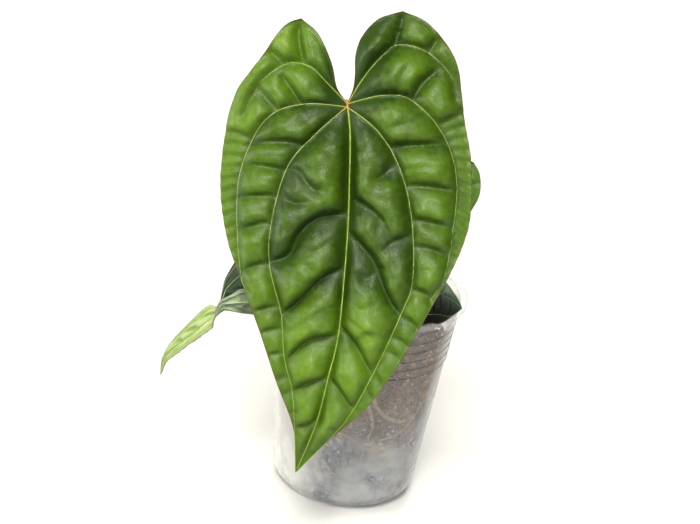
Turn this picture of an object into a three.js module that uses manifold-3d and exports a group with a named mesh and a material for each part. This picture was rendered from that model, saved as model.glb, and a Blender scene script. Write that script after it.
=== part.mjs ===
// A young anthurium with quilted, heart-shaped leaves, standing in a clear plastic growing pot.
// Millimetres, +Z up. The origin is the centre of the pot's underside, and the large leaf faces -Y.

import * as THREE from "three";
import Module from "manifold-3d";
import { mergeVertices } from "three/addons/utils/BufferGeometryUtils.js";

const wasm = await Module();
wasm.setup();

// Driving dimensions

const GAP = 0.3; // between pieces that touch
const POT_HEIGHT = 122;
const LIP_RADIUS = 55;
const LIP_DEPTH = 3.4;
const WALL_RADIUS_AT_BASE = 40; // outside, carried down to the underside
const WALL_SLOPE = 0.094; // growth of the radius for each millimetre of height
const WALL = 1;
const FLOOR = 1.2;
const CORNER_RADIUS = 10;
const RING_COUNT = 5;
const RING_PITCH = 5.2;
const TOP_RING_HEIGHT = 108.5;
const RING_PROUD = 0.7;
const POT_SIDES = 36;
const DRAIN_HOLES = 6;
const DRAIN_HOLE_RADIUS = 3.5;
const DRAIN_CIRCLE_RADIUS = 22;

const SOIL_HEIGHT = 95;
const SOIL_RINGS = [44, 36, 27, 18];
const SOIL_BUMP = 1.8;

const STEM_FOOT = 76;
const STEM_TOP = 109;
const STEM_RADIUS = 6.5;

const BLADE_THICKNESS = 0.9;
const LEAF_LENGTH = 190; // sinus to tip of the large leaf, which the leaf plan is drawn at
const LADDER_VEINS = 20; // cross veins along each side of the large leaf
const LADDER_LEVEL = 0.85; // under 1, the cross veins rise less towards the edge

// The leaf plan: a flat leaf in its own plane, u to the right and v up, with the sinus at 0, 0

const PLAN = {
  midrib: [
    [0, 0], [3.4, -15], [6, -36], [9, -66], [11.2, -113], [9, -138], [6, -163], [-1, -LEAF_LENGTH],
  ],
  left: {
    sinusEdge: [[0, 0], [-6.6, 7], [-10.4, 17], [-15.2, 25.4], [-21, 33], [-29, 38]],
    margin: [
      [-29, 38], [-36.5, 33], [-46.6, 14.2], [-56, -4], [-59, -28], [-57.3, -52], [-50.2, -75.5],
      [-41, -93.3], [-28.9, -116.6], [-17.2, -141.5], [-5, -166], [-1, -LEAF_LENGTH],
    ],
    inner: [
      [0, -1.5], [-14, -17.5], [-25.5, -35.5], [-29.5, -62], [-28, -84], [-19, -108], [-14.5, -130],
      [-7.5, -150], [-1, -LEAF_LENGTH],
    ],
    outer: [[0, -1.5], [-22, -3.5], [-38, -12], [-47, -32], [-48.5, -55], [-41.5, -91.5]],
    upper: [[0, 0], [-12, 9], [-22, 15.8], [-33.5, 15], [-45, 3.5]],
    branches: [
      [[-24, 16.2], [-30.5, 32]], [[-33.5, 15], [-41, 24]], [[-46, 2.5], [-34.5, -8]],
      [[-34.5, 9.5], [-22.5, -3.5]],
    ],
    panel: [
      [[7.5, -55.5], [-10, -61], [-16, -72.5], [-28, -83]], [[-27, -38.5], [-6, -50.5]],
      [[10, -84], [-3, -91], [-12, -100.5], [-17.5, -110]], [[10, -118.5], [-4.5, -122], [-13.5, -132.5]],
      [[8.5, -140], [-1.5, -143], [-7.5, -148]], [[5, -163], [-3.5, -165]],
    ],
  },
  right: {
    sinusEdge: [[0, 0], [2, 7.6], [2, 15], [1, 24.3], [3, 34], [10, 43.5], [21.5, 49.2]],
    margin: [
      [21.5, 49.2], [34, 45], [45.5, 34.5], [52.7, 22.6], [58.4, 1.5], [65.2, -20.3], [68.7, -46],
      [67.2, -61], [61.7, -79], [53.6, -99.4], [43.6, -124.7], [31, -148.6], [14, -169.5], [-1, -LEAF_LENGTH],
    ],
    inner: [
      [0, -1.5], [17.5, -12], [31, -29.5], [40, -53.5], [44.5, -83], [41, -101], [31, -133.5],
      [20, -160], [-1, -LEAF_LENGTH],
    ],
    outer: [[0, 0], [17, 6], [32, 5.5], [50, -9.5], [59.5, -30.5], [61, -55], [60, -83]],
    upper: [[0, 0], [6.5, 14], [14, 25.5], [21.5, 32.5], [36.5, 30.5], [49.5, 20.5]],
    branches: [[[32.5, 6.5], [38.5, 18.5], [49.5, 20.5]], [[19, 31], [22, 48]], [[36.5, 30.5], [42, 39]]],
    panel: [
      [[9, -62], [20.5, -75], [41, -101]], [[11, -110], [20.5, -120], [31, -133.5]],
      [[8.5, -138], [17, -143], [24, -151]], [[6.5, -36], [22, -45], [38, -50]],
    ],
  },
};

// How each leaf is carried. The spine runs from above the sinus, past the sinus at its second point,
// to the tip. Facing is the direction of the upper face at each point, and fold and droop are the
// angles there by which each half rises from the midrib and then falls off towards its edge. Width
// is the share of the plan's width that its left and its right half have at the leaf's own length.

const LEAVES = [
  {
    name: "front",
    length: LEAF_LENGTH,
    columns: 15,
    ladder: LADDER_VEINS,
    quilt: [3.4, 1.5],
    foldRadius: 10,
    spine: [
      { at: [-24, -8, 276], facing: [0, -0.75, 0.66], fold: 9, droop: 34, width: [1, 1] },
      { at: [-24, -30, 231.4], facing: [0, -0.88, 0.47], fold: 9, droop: 34, width: [1, 1] },
      { at: [-24, -60, 160], facing: [0, -0.95, 0.31], fold: 10, droop: 30, width: [1, 1] },
      { at: [-24, -79, 98], facing: [0, -0.98, 0.2], fold: 11, droop: 25, width: [1, 1] },
      { at: [-24, -88, 50], facing: [0, -0.99, 0.12], fold: 12, droop: 20, width: [1, 1] },
    ],
    colour: 0x55802c,
  },
  {
    name: "back",
    length: 98,
    columns: 8,
    ladder: 14,
    quilt: [2.4, 1.2],
    foldRadius: 7,
    spine: [
      { at: [39, 27, 198], facing: [0.3, -0.7, 0.65], fold: 8, droop: 30, width: [1, 1] },
      { at: [24, 17, 181], facing: [0.3, -0.8, 0.5], fold: 8, droop: 30, width: [1, 1] },
      { at: [5, 13, 156], facing: [0.3, -0.85, 0.35], fold: 10, droop: 26, width: [1.08, 1.08] },
      { at: [-14, 11, 131], facing: [0.3, -0.9, 0.2], fold: 11, droop: 22, width: [1, 1] },
      { at: [-32, 11, 107], facing: [0.3, -0.9, 0.1], fold: 12, droop: 20, width: [1, 1] },
    ],
    colour: 0x64803a,
  },
  {
    name: "left",
    length: 96,
    columns: 6,
    ladder: 13,
    quilt: [1.6, 0.8],
    foldRadius: 4,
    spine: [
      { at: [-14, -40, 138], facing: [-0.3, 0, 1], fold: 50, droop: 0, width: [0.7, 0.7] },
      { at: [-33, -45, 130.5], facing: [-0.3, 0, 1], fold: 60, droop: 0, width: [0.8, 0.7] },
      { at: [-50, -46, 119.5], facing: [-0.2, -0.1, 1], fold: 82, droop: 0, width: [1.1, 0.8] },
      { at: [-64, -46, 118.5], facing: [-0.2, -0.05, 1], fold: 86, droop: 0, width: [1.15, 0.65] },
      { at: [-71, -46, 117.5], facing: [-0.2, 0.4, 1], fold: 26, droop: 0, width: [0.2, 0.46] },
      { at: [-80, -46, 113.5], facing: [-0.45, -0.4, 0.8], fold: 12, droop: 4, width: [0.4, 0.3] },
      { at: [-92, -46, 100], facing: [-0.75, -0.35, 0.6], fold: 20, droop: 8, width: [0.48, 0.46] },
      { at: [-102.5, -46, 85.5], facing: [-0.85, -0.4, 0.4], fold: 15, droop: 10, width: [0.64, 0.64] },
      { at: [-104, -46, 73], facing: [-0.9, -0.4, 0.1], fold: 15, droop: 10, width: [1, 1] },
    ],
    colour: 0x8fa860,
  },
  {
    name: "right",
    length: 50,
    columns: 6,
    ladder: 10,
    quilt: [0.9, 0.5],
    foldRadius: 4,
    spine: [
      { at: [-8, -14, 130], facing: [0, -0.2, 1], fold: 10, droop: 24, width: [1, 1] },
      { at: [4, -16, 134], facing: [0, -0.2, 1], fold: 10, droop: 24, width: [1, 1] },
      { at: [22, -19, 134], facing: [0.1, -0.2, 1], fold: -2, droop: 12, width: [1.6, 1.1] },
      { at: [38, -21, 129.8], facing: [0.3, -0.21, 1], fold: -8, droop: 6, width: [2.5, 1.7] },
      { at: [51, -20, 124], facing: [0.45, -0.2, 1], fold: -8, droop: 4, width: [6, 6] },
    ],
    colour: 0x33502c,
  },
];

// Each stalk runs from the stem to its leaf's sinus, where the swollen joint meets the underside.

const PETIOLES = {
  front: { radius: 2.3, joint: 3.1, route: [[-2, 0, 98], [-13, 3, 130], [-20, 1, 175], [-24, -9, 212]] },
  back: { radius: 1.9, joint: 2.6, route: [[2, 3, 98], [8, 15, 110], [16, 27, 135], [26, 32, 163]] },
  left: { radius: 1.6, joint: 2, route: [[-3, -2, 98], [-10, -14, 108], [-20, -30, 118], [-27, -40, 123]] },
  right: { radius: 1.3, joint: 1.8, route: [[3, -3, 98], [7, -12, 110], [5, -15, 122]] },
};

// Joins and cuts

function solidOf(geometry) {
  const bare = geometry.index ? geometry.toNonIndexed() : geometry.clone();
  bare.deleteAttribute("normal");
  bare.deleteAttribute("uv");
  const merged = mergeVertices(bare, 1e-4);
  return new wasm.Manifold(
    new wasm.Mesh({
      numProp: 3,
      vertProperties: new Float32Array(merged.attributes.position.array),
      triVerts: new Uint32Array(merged.index.array),
    }),
  );
}

function geometryOf(solid) {
  const { vertProperties, triVerts } = solid.getMesh();
  const geometry = new THREE.BufferGeometry();
  geometry.setAttribute("position", new THREE.BufferAttribute(vertProperties, 3));
  geometry.setIndex(new THREE.BufferAttribute(triVerts, 1));
  geometry.computeVertexNormals();
  return geometry;
}

function lathe(profile, sides) {
  const points = profile.map(([radius, height]) => new THREE.Vector2(radius, height));
  return new THREE.LatheGeometry(points, sides).rotateX(Math.PI / 2);
}

function post(radius, bottom, top, sides, x = 0, y = 0) {
  const cylinder = new THREE.CylinderGeometry(radius, radius, top - bottom, sides);
  return cylinder.rotateX(Math.PI / 2).translate(x, y, (top + bottom) / 2);
}

// The pot

const wallRadius = (height) => WALL_RADIUS_AT_BASE + WALL_SLOPE * height;

function arc(centreRadius, centreHeight, radius, steps) {
  return Array.from({ length: steps + 1 }, (_, i) => {
    const turn = ((i / steps) * Math.PI) / 2;
    return [centreRadius + radius * Math.sin(turn), centreHeight - radius * Math.cos(turn)];
  });
}

function ringProfile(height) {
  const half = RING_PITCH / 4;
  return [
    [wallRadius(height - half), height - half],
    [wallRadius(height) + RING_PROUD, height],
    [wallRadius(height + half), height + half],
  ];
}

function potGeometry() {
  const cornerCentre = wallRadius(CORNER_RADIUS) - CORNER_RADIUS;
  const lipFoot = POT_HEIGHT - LIP_DEPTH;
  const rings = Array.from({ length: RING_COUNT }, (_, i) =>
    ringProfile(TOP_RING_HEIGHT - (RING_COUNT - 1 - i) * RING_PITCH),
  ).flat();
  const outside = [
    [0, 0],
    ...arc(cornerCentre, CORNER_RADIUS, CORNER_RADIUS, 4),
    ...rings,
    [wallRadius(lipFoot), lipFoot],
    [LIP_RADIUS - 0.6, lipFoot],
    [LIP_RADIUS, lipFoot + 0.8],
    [LIP_RADIUS, POT_HEIGHT - 0.8],
    [LIP_RADIUS - 0.8, POT_HEIGHT],
  ];
  const inside = [
    [wallRadius(POT_HEIGHT) - WALL, POT_HEIGHT],
    ...arc(cornerCentre, CORNER_RADIUS, CORNER_RADIUS - FLOOR, 3).reverse(),
    [0, FLOOR],
  ];
  let solid = solidOf(lathe([...outside, ...inside], POT_SIDES));
  for (let i = 0; i < DRAIN_HOLES; i++) {
    const turn = ((i + 0.5) / DRAIN_HOLES) * 2 * Math.PI;
    const x = DRAIN_CIRCLE_RADIUS * Math.cos(turn);
    const y = DRAIN_CIRCLE_RADIUS * Math.sin(turn);
    solid = solid.subtract(solidOf(post(DRAIN_HOLE_RADIUS, -FLOOR, 2 * FLOOR, 12, x, y)));
  }
  return geometryOf(solid);
}

// The stem, and the growing mix with a plain hole for it

const STEM_PROFILE = [
  [0, STEM_FOOT],
  [STEM_RADIUS * 0.7, STEM_FOOT + 1],
  [STEM_RADIUS, STEM_FOOT + 8],
  [STEM_RADIUS, STEM_TOP - 8],
  [STEM_RADIUS * 0.75, STEM_TOP - 2],
  [0, STEM_TOP],
];

function stemWithGap(gap) {
  const profile = STEM_PROFILE.map(([radius, height], i) => {
    if (i === 0) return [0, height - gap];
    if (i === STEM_PROFILE.length - 1) return [0, height + gap];
    return [radius + gap, height];
  });
  return lathe(profile, 12);
}

function soilBump(x, y) {
  return SOIL_BUMP * (Math.sin(x / 3.1 + 1) * Math.cos(y / 3.7) + 0.6 * Math.sin((x + 2 * y) / 5.3));
}

function soilGeometry() {
  const cornerCentre = wallRadius(CORNER_RADIUS) - CORNER_RADIUS;
  const inset = WALL + GAP;
  const profile = [
    [0, FLOOR + GAP],
    ...arc(cornerCentre, CORNER_RADIUS, CORNER_RADIUS - FLOOR - GAP, 3),
    [wallRadius(SOIL_HEIGHT) - inset, SOIL_HEIGHT - 2],
    ...SOIL_RINGS.map((radius) => [radius, SOIL_HEIGHT]),
    [0, SOIL_HEIGHT],
  ];
  const body = lathe(profile, POT_SIDES);
  const place = body.attributes.position;
  for (let i = 0; i < place.count; i++) {
    if (place.getZ(i) > SOIL_HEIGHT - 1) {
      place.setZ(i, place.getZ(i) + soilBump(place.getX(i), place.getY(i)));
    }
  }
  const hole = post(STEM_RADIUS + GAP, STEM_FOOT - GAP, POT_HEIGHT, 16);
  return geometryOf(solidOf(body).subtract(solidOf(hole)));
}

// The leaf plan's curves

const spline = (points) => new THREE.SplineCurve(points.map(([u, v]) => new THREE.Vector2(u, v)));

function coons(half, a, b) {
  const middle = MIDRIB_CURVE.getPointAt(a);
  const edge = half.marginCurve.getPointAt(a ** LADDER_LEVEL);
  const inner = half.sinusCurve.getPointAt(b);
  const lobe = half.sinusCurve.getPointAt(1);
  const tip = half.marginCurve.getPointAt(1);
  return middle
    .clone()
    .multiplyScalar(1 - b)
    .addScaledVector(edge, b)
    .addScaledVector(inner, 1 - a)
    .addScaledVector(tip, a)
    .addScaledVector(lobe, -(1 - a) * b)
    .addScaledVector(tip, -a);
}

function distanceToSegment(point, from, to) {
  const along = to.clone().sub(from);
  const share = THREE.MathUtils.clamp(point.clone().sub(from).dot(along) / along.lengthSq(), 0, 1);
  return point.distanceTo(from.clone().addScaledVector(along, share));
}

function distanceToLines(point, lines) {
  let least = Infinity;
  for (const line of lines) {
    for (let i = 1; i < line.length; i++) {
      least = Math.min(least, distanceToSegment(point, line[i - 1], line[i]));
    }
  }
  return least;
}

const HALVES = [PLAN.left, PLAN.right].map((half, side) => {
  return {
    side,
    sign: side === 0 ? -1 : 1,
    sinusCurve: spline(half.sinusEdge),
    marginCurve: spline(half.margin),
    strong: [PLAN.midrib, half.inner, half.outer, half.upper].map((line) => spline(line).getPoints(24)),
    fine: [...half.branches, ...half.panel].map((line) => spline(line).getPoints(6)),
    innerLine: spline(half.inner).getPoints(40),
  };
});
const MIDRIB_CURVE = spline(PLAN.midrib);
const MIDRIB_LINE = MIDRIB_CURVE.getPoints(60);

// Reads u on a line that falls steadily in v.
function acrossAt(line, v) {
  for (let i = 1; i < line.length; i++) {
    if (line[i].y <= v) {
      const share = THREE.MathUtils.clamp((line[i - 1].y - v) / (line[i - 1].y - line[i].y), 0, 1);
      return THREE.MathUtils.lerp(line[i - 1].x, line[i].x, share);
    }
  }
  return line[line.length - 1].x;
}

// A cell between veins rises like a cushion from nothing at the vein to 1 at reach.
function cushion(distance, reach) {
  const short = 1 - Math.min(distance / reach, 1);
  return 1 - short * short;
}

// Height of the quilting in plan millimetres. Crests of the ladder lie midway between cross veins.
function quiltHeight(half, point, a, leaf) {
  const strong = distanceToLines(point, half.strong);
  const fine = distanceToLines(point, half.fine);
  const fromMidrib = half.sign * (point.x - acrossAt(MIDRIB_LINE, point.y));
  const innerVein = half.sign * (acrossAt(half.innerLine, point.y) - acrossAt(MIDRIB_LINE, point.y));
  const inLadder = point.y > -2 ? 1 : THREE.MathUtils.smoothstep(fromMidrib - innerVein, -1, 4);
  const step = a * leaf.ladder;
  const rung = cushion(Math.abs(step - Math.round(step)), 0.5);
  const large = leaf.quilt[0] * cushion(Math.min(strong, fine), 12);
  const ladder = leaf.quilt[1] * (inLadder * rung + 0.5 * (1 - inLadder));
  return large * (1 - 0.5 * inLadder) + ladder * cushion(strong, 4);
}

const PLAN_HALF_WIDTH = 65;

// The angle across the blade, q millimetres out from the midrib.
function tilt(leaf, carriage, q) {
  const widest = (PLAN_HALF_WIDTH * leaf.length) / LEAF_LENGTH;
  const rise = carriage.fold * (1 - Math.exp(-q / leaf.foldRadius));
  return THREE.MathUtils.degToRad(rise - carriage.droop * (q / widest) ** 2);
}

function crossSection(leaf, carriage, q) {
  const steps = 12;
  let across = 0;
  let rise = 0;
  for (let i = 0; i < steps; i++) {
    const angle = tilt(leaf, carriage, (q * (i + 0.5)) / steps);
    across += (Math.cos(angle) * q) / steps;
    rise += (Math.sin(angle) * q) / steps;
  }
  return { across, rise, angle: tilt(leaf, carriage, q) };
}

// How the blade is carried at a height v of the plan: its centre, its two directions and its bends.
function carriageOf(leaf) {
  const curve = new THREE.CatmullRomCurve3(leaf.spine.map(({ at }) => new THREE.Vector3(...at)));
  const lengths = curve.getLengths(200);
  const total = lengths[200];
  const marks = leaf.spine.map((_, i) => lengths[Math.round((200 * i) / (leaf.spine.length - 1))]);
  const sinusAt = marks[1];
  const scale = (total - sinusAt) / LEAF_LENGTH;
  return (v) => {
    const wanted = sinusAt - v * scale;
    const at = THREE.MathUtils.clamp(wanted, 0, total);
    const centre = curve.getPointAt(at / total);
    const down = curve.getTangentAt(at / total);
    let i = 1;
    while (i < marks.length - 1 && marks[i] < at) i++;
    const share = (at - marks[i - 1]) / (marks[i] - marks[i - 1]);
    const [before, after] = [leaf.spine[i - 1], leaf.spine[i]];
    const facing = new THREE.Vector3(...before.facing).lerp(new THREE.Vector3(...after.facing), share);
    facing.addScaledVector(down, -facing.dot(down)).normalize();
    const aside = new THREE.Vector3().crossVectors(facing, down);
    centre.addScaledVector(down, wanted - at);
    const fold = THREE.MathUtils.lerp(before.fold, after.fold, share);
    const droop = THREE.MathUtils.lerp(before.droop, after.droop, share);
    const width = [0, 1].map((k) => THREE.MathUtils.lerp(before.width[k], after.width[k], share));
    return { centre, facing, aside, fold, droop, width };
  };
}

// The two faces' points at one place of the plan.
function bladePoints(leaf, carry, half, a, b) {
  const scale = leaf.length / LEAF_LENGTH;
  const point = coons(half, a, b);
  const carriage = carry(point.y);
  const { centre, facing, aside, width } = carriage;
  const middle = acrossAt(MIDRIB_LINE, point.y);
  const offset = point.x - middle;
  const sign = Math.sign(offset) || half.sign;
  const q = Math.abs(offset) * scale * width[half.side];
  const { across, rise, angle } = crossSection(leaf, carriage, q);
  const out = facing.clone().multiplyScalar(Math.cos(angle)).addScaledVector(aside, -sign * Math.sin(angle));
  const base = centre
    .clone()
    .addScaledVector(aside, middle * scale + sign * across)
    .addScaledVector(facing, rise)
    .addScaledVector(out, quiltHeight(half, point, a, leaf));
  return [BLADE_THICKNESS / 2, -BLADE_THICKNESS / 2].map((d) => base.clone().addScaledVector(out, d));
}

function bladeGeometry(leaf) {
  const { columns } = leaf;
  const rows = 2 * leaf.ladder;
  const carry = carriageOf(leaf);
  const faces = [[], []];
  const add = (points) => {
    points.forEach((point, face) => faces[face].push(point));
    return faces[0].length - 1;
  };
  const midrib = [];
  for (let i = 0; i <= rows; i++) midrib.push(add(bladePoints(leaf, carry, HALVES[1], i / rows, 0)));
  const grids = HALVES.map((half) => {
    const grid = [];
    for (let i = 0; i < rows; i++) {
      const line = [midrib[i]];
      for (let j = 1; j <= columns; j++) {
        line.push(add(bladePoints(leaf, carry, half, i / rows, j / columns)));
      }
      grid.push(line);
    }
    grid.push(Array(columns + 1).fill(midrib[rows]));
    return { grid, sign: half.sign };
  });
  const count = faces[0].length;
  const index = [];
  const triangle = (p, q, r) => {
    if (p === q || q === r || r === p) return;
    index.push(p, q, r, r + count, q + count, p + count);
  };
  const quad = (p, q, r, s, flip) => {
    if (flip) [p, q, r, s] = [p, s, r, q];
    triangle(p, q, r);
    triangle(p, r, s);
  };
  for (const { grid, sign } of grids) {
    for (let i = 0; i < rows; i++) {
      for (let j = 0; j < columns; j++) {
        quad(grid[i][j], grid[i + 1][j], grid[i + 1][j + 1], grid[i][j + 1], sign < 0);
      }
    }
  }
  const edge = ({ grid }) => [...grid[0], ...grid.slice(1).map((line) => line[columns])];
  const rim = [...edge(grids[0]).reverse(), ...edge(grids[1]).slice(1)];
  for (let i = 1; i < rim.length; i++) {
    const [p, q] = [rim[i - 1], rim[i]];
    index.push(p, q, q + count, p, q + count, p + count);
  }
  const geometry = new THREE.BufferGeometry().setFromPoints([...faces[0], ...faces[1]]);
  geometry.setIndex(index);
  geometry.computeVertexNormals();
  return geometry;
}

// A stalk with its swollen joint, cut clear of the stem

const JOINT_STRETCH = 1.5;

function petioleGeometry({ radius, joint, route }, leaf) {
  const sinus = leaf.spine[1];
  const way = new THREE.Vector3(...sinus.facing).normalize();
  const reach = BLADE_THICKNESS / 2 + GAP + JOINT_STRETCH * joint;
  const end = new THREE.Vector3(...sinus.at).addScaledVector(way, -reach);
  const path = new THREE.CatmullRomCurve3([...route.map((p) => new THREE.Vector3(...p)), end]);
  const section = new THREE.Shape(new THREE.EllipseCurve(0, 0, radius, radius).getPoints(8).slice(0, 8));
  const tube = new THREE.ExtrudeGeometry(section, { steps: 14, bevelEnabled: false, extrudePath: path });
  const swelling = new THREE.SphereGeometry(joint, 8, 6).scale(1, JOINT_STRETCH, 1);
  swelling.applyQuaternion(new THREE.Quaternion().setFromUnitVectors(new THREE.Vector3(0, 1, 0), way));
  swelling.translate(end.x, end.y, end.z);
  return geometryOf(solidOf(tube).add(solidOf(swelling)).subtract(solidOf(stemWithGap(GAP))));
}

// The plant in its pot

const plant = new THREE.Group();

function place(name, geometry, look) {
  const mesh = new THREE.Mesh(geometry, new THREE.MeshStandardMaterial(look));
  mesh.name = name;
  plant.add(mesh);
}

place("pot", potGeometry(), { color: 0xd8d9d6, roughness: 0.35, transparent: true, opacity: 0.5 });
place("soil", soilGeometry(), { color: 0x6f5c48, roughness: 0.95 });
place("stem", lathe(STEM_PROFILE, 12), { color: 0x6a7240, roughness: 0.7 });
for (const leaf of LEAVES) {
  const petiole = petioleGeometry(PETIOLES[leaf.name], leaf);
  place(`petiole_${leaf.name}`, petiole, { color: 0x6f8a3c, roughness: 0.5 });
  place(`leaf_${leaf.name}`, bladeGeometry(leaf), { color: leaf.colour, roughness: 0.35 });
}

export default plant;
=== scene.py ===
"""A young anthurium with quilted leaves in a clear growing pot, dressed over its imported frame.

The plan of a leaf and the points that place the parts are millimetres. Meshes and settings are metres.
"""

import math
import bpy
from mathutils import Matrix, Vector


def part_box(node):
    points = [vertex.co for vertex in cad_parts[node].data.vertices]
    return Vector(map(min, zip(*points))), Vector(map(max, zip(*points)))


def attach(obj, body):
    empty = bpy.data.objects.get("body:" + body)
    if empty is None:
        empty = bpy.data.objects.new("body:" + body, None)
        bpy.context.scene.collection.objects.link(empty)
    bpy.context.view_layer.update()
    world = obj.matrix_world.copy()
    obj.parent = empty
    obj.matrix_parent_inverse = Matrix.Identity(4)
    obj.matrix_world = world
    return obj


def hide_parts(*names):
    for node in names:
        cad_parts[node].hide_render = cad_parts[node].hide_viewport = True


bl_info = {
    "name": "Potted anthurium",
    "version": (1, 0, 0),
    "blender": (4, 5, 0),
    "location": "3D View > Sidebar > Anthurium",
    "description": "Builds a young anthurium with quilted leaves in a clear pot of chunky mix",
    "category": "Object",
}

import bpy
import numpy as np
from mathutils import Matrix, Vector

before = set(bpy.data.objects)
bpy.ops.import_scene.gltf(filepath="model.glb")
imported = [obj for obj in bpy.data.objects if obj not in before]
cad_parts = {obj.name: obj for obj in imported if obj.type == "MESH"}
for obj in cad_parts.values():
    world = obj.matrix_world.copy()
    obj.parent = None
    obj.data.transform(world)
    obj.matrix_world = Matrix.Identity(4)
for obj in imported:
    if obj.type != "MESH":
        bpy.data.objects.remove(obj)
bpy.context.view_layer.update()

MM = 0.001
POT_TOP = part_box("pot")[1].z
LIP_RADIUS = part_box("pot")[1].x

# The leaf plan: a flat leaf with u to the right and v up, and the sinus at 0, 0

LEAF_LENGTH = 190.0
PLAN_HALF_WIDTH = 65.0
LADDER_LEVEL = 0.85
MIDRIB = [(0, 0), (3.4, -15), (6, -36), (9, -66), (11.2, -113), (9, -138), (6, -163), (-1, -LEAF_LENGTH)]
LEFT = {
    "sinus": [(0, 0), (-6.6, 7), (-10.4, 17), (-15.2, 25.4), (-21, 33), (-29, 38)],
    "margin": [
        (-29, 38), (-36.5, 33), (-46.6, 14.2), (-56, -4), (-59, -28), (-57.3, -52), (-50.2, -75.5),
        (-41, -93.3), (-28.9, -116.6), (-17.2, -141.5), (-5, -166), (-1, -LEAF_LENGTH),
    ],
    "main": [
        [(0, -1.5), (-14, -17.5), (-25.5, -35.5), (-29.5, -62), (-28, -84), (-19, -108), (-14.5, -130),
         (-7.5, -150), (-1, -LEAF_LENGTH)],
        [(0, -1.5), (-22, -3.5), (-38, -12), (-47, -32), (-48.5, -55), (-41.5, -91.5), (-36, -100)],
        [(0, 0), (-12, 9), (-22, 15.8), (-33.5, 15), (-45, 3.5), (-50.5, -14)],
    ],
    "branches": [
        [(-24, 16.2), (-28, 26), (-29.5, 35)], [(-33.5, 15), (-41, 20.5)], [(-46, 2.5), (-34.5, -8)],
        [(-34.5, 9.5), (-22.5, -3.5)],
        [(6.5, -54.5), (-0.5, -56), (-9, -59.5), (-15.5, -68), (-19, -78.5), (-28, -83)],
        [(8.5, -82), (-1, -88), (-8.5, -97.5), (-18, -108.5)],
        [(10, -115.5), (-0.5, -118.5), (-6.5, -122.5), (-13.5, -132.5)],
        [(8.5, -138), (-0.5, -141), (-7.5, -147)], [(6, -160), (2.5, -163), (-3, -165.5)],
    ],
    "rungs": [
        [(-45, -26), (-27.5, -23), (-18, -24)], [(-47, -37.5), (-39, -36.5), (-30, -37), (-25.5, -37.5)],
        [(-48.5, -53.5), (-43, -52.5), (-34.5, -51), (-28.5, -50.5)],
        [(-45, -69.5), (-39, -67), (-33.5, -64.5), (-29.5, -64.5)],
        [(-40, -89), (-34, -85.5), (-27.5, -83.5)], [(-31, -108), (-25, -105.5), (-20, -104.5)],
        [(-27, -118.5), (-22.5, -116.5), (-17.5, -115.5)], [(-22, -129), (-14.8, -127.5)],
        [(-17, -141.5), (-11, -139)], [(-12.5, -148.5), (-8, -146)], [(-8.5, -158), (-4.8, -157)],
    ],
    "creases": [
        [(-25, -36.5), (-20, -36.5), (-14, -42.5), (-6.5, -46.5)], [(-26.5, -48), (-21, -52.5), (-12, -51)],
    ],
    "faint": [
        [(-42.5, -79.5), (-35.5, -76.5), (-29, -74)], [(-37, -95.5), (-30.5, -92), (-25, -90.5)],
        [(-33, -101.5), (-28, -99), (-23, -97)], [(-25, -125), (-20.5, -124), (-16, -123)],
        [(-19.5, -136), (-13, -133.5)], [(-47.5, -45.5), (-38, -44), (-28, -44)],
        [(-47.5, -61.5), (-40, -59.5), (-29.5, -57.5)], [(-43.5, -31.5), (-24, -30.5)],
        [(-30, 5), (-23, -0.5)], [(-45.5, 2.5), (-38.5, -3)], [(-16, 12), (-21, 27)],
        [(3.5, -66), (-6, -74), (-17, -79)], [(9.6, -99), (0, -104), (-9, -111), (-16, -118)],
        [(-14, -5.5), (-30, -18), (-40, -22)],
    ],
}
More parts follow.
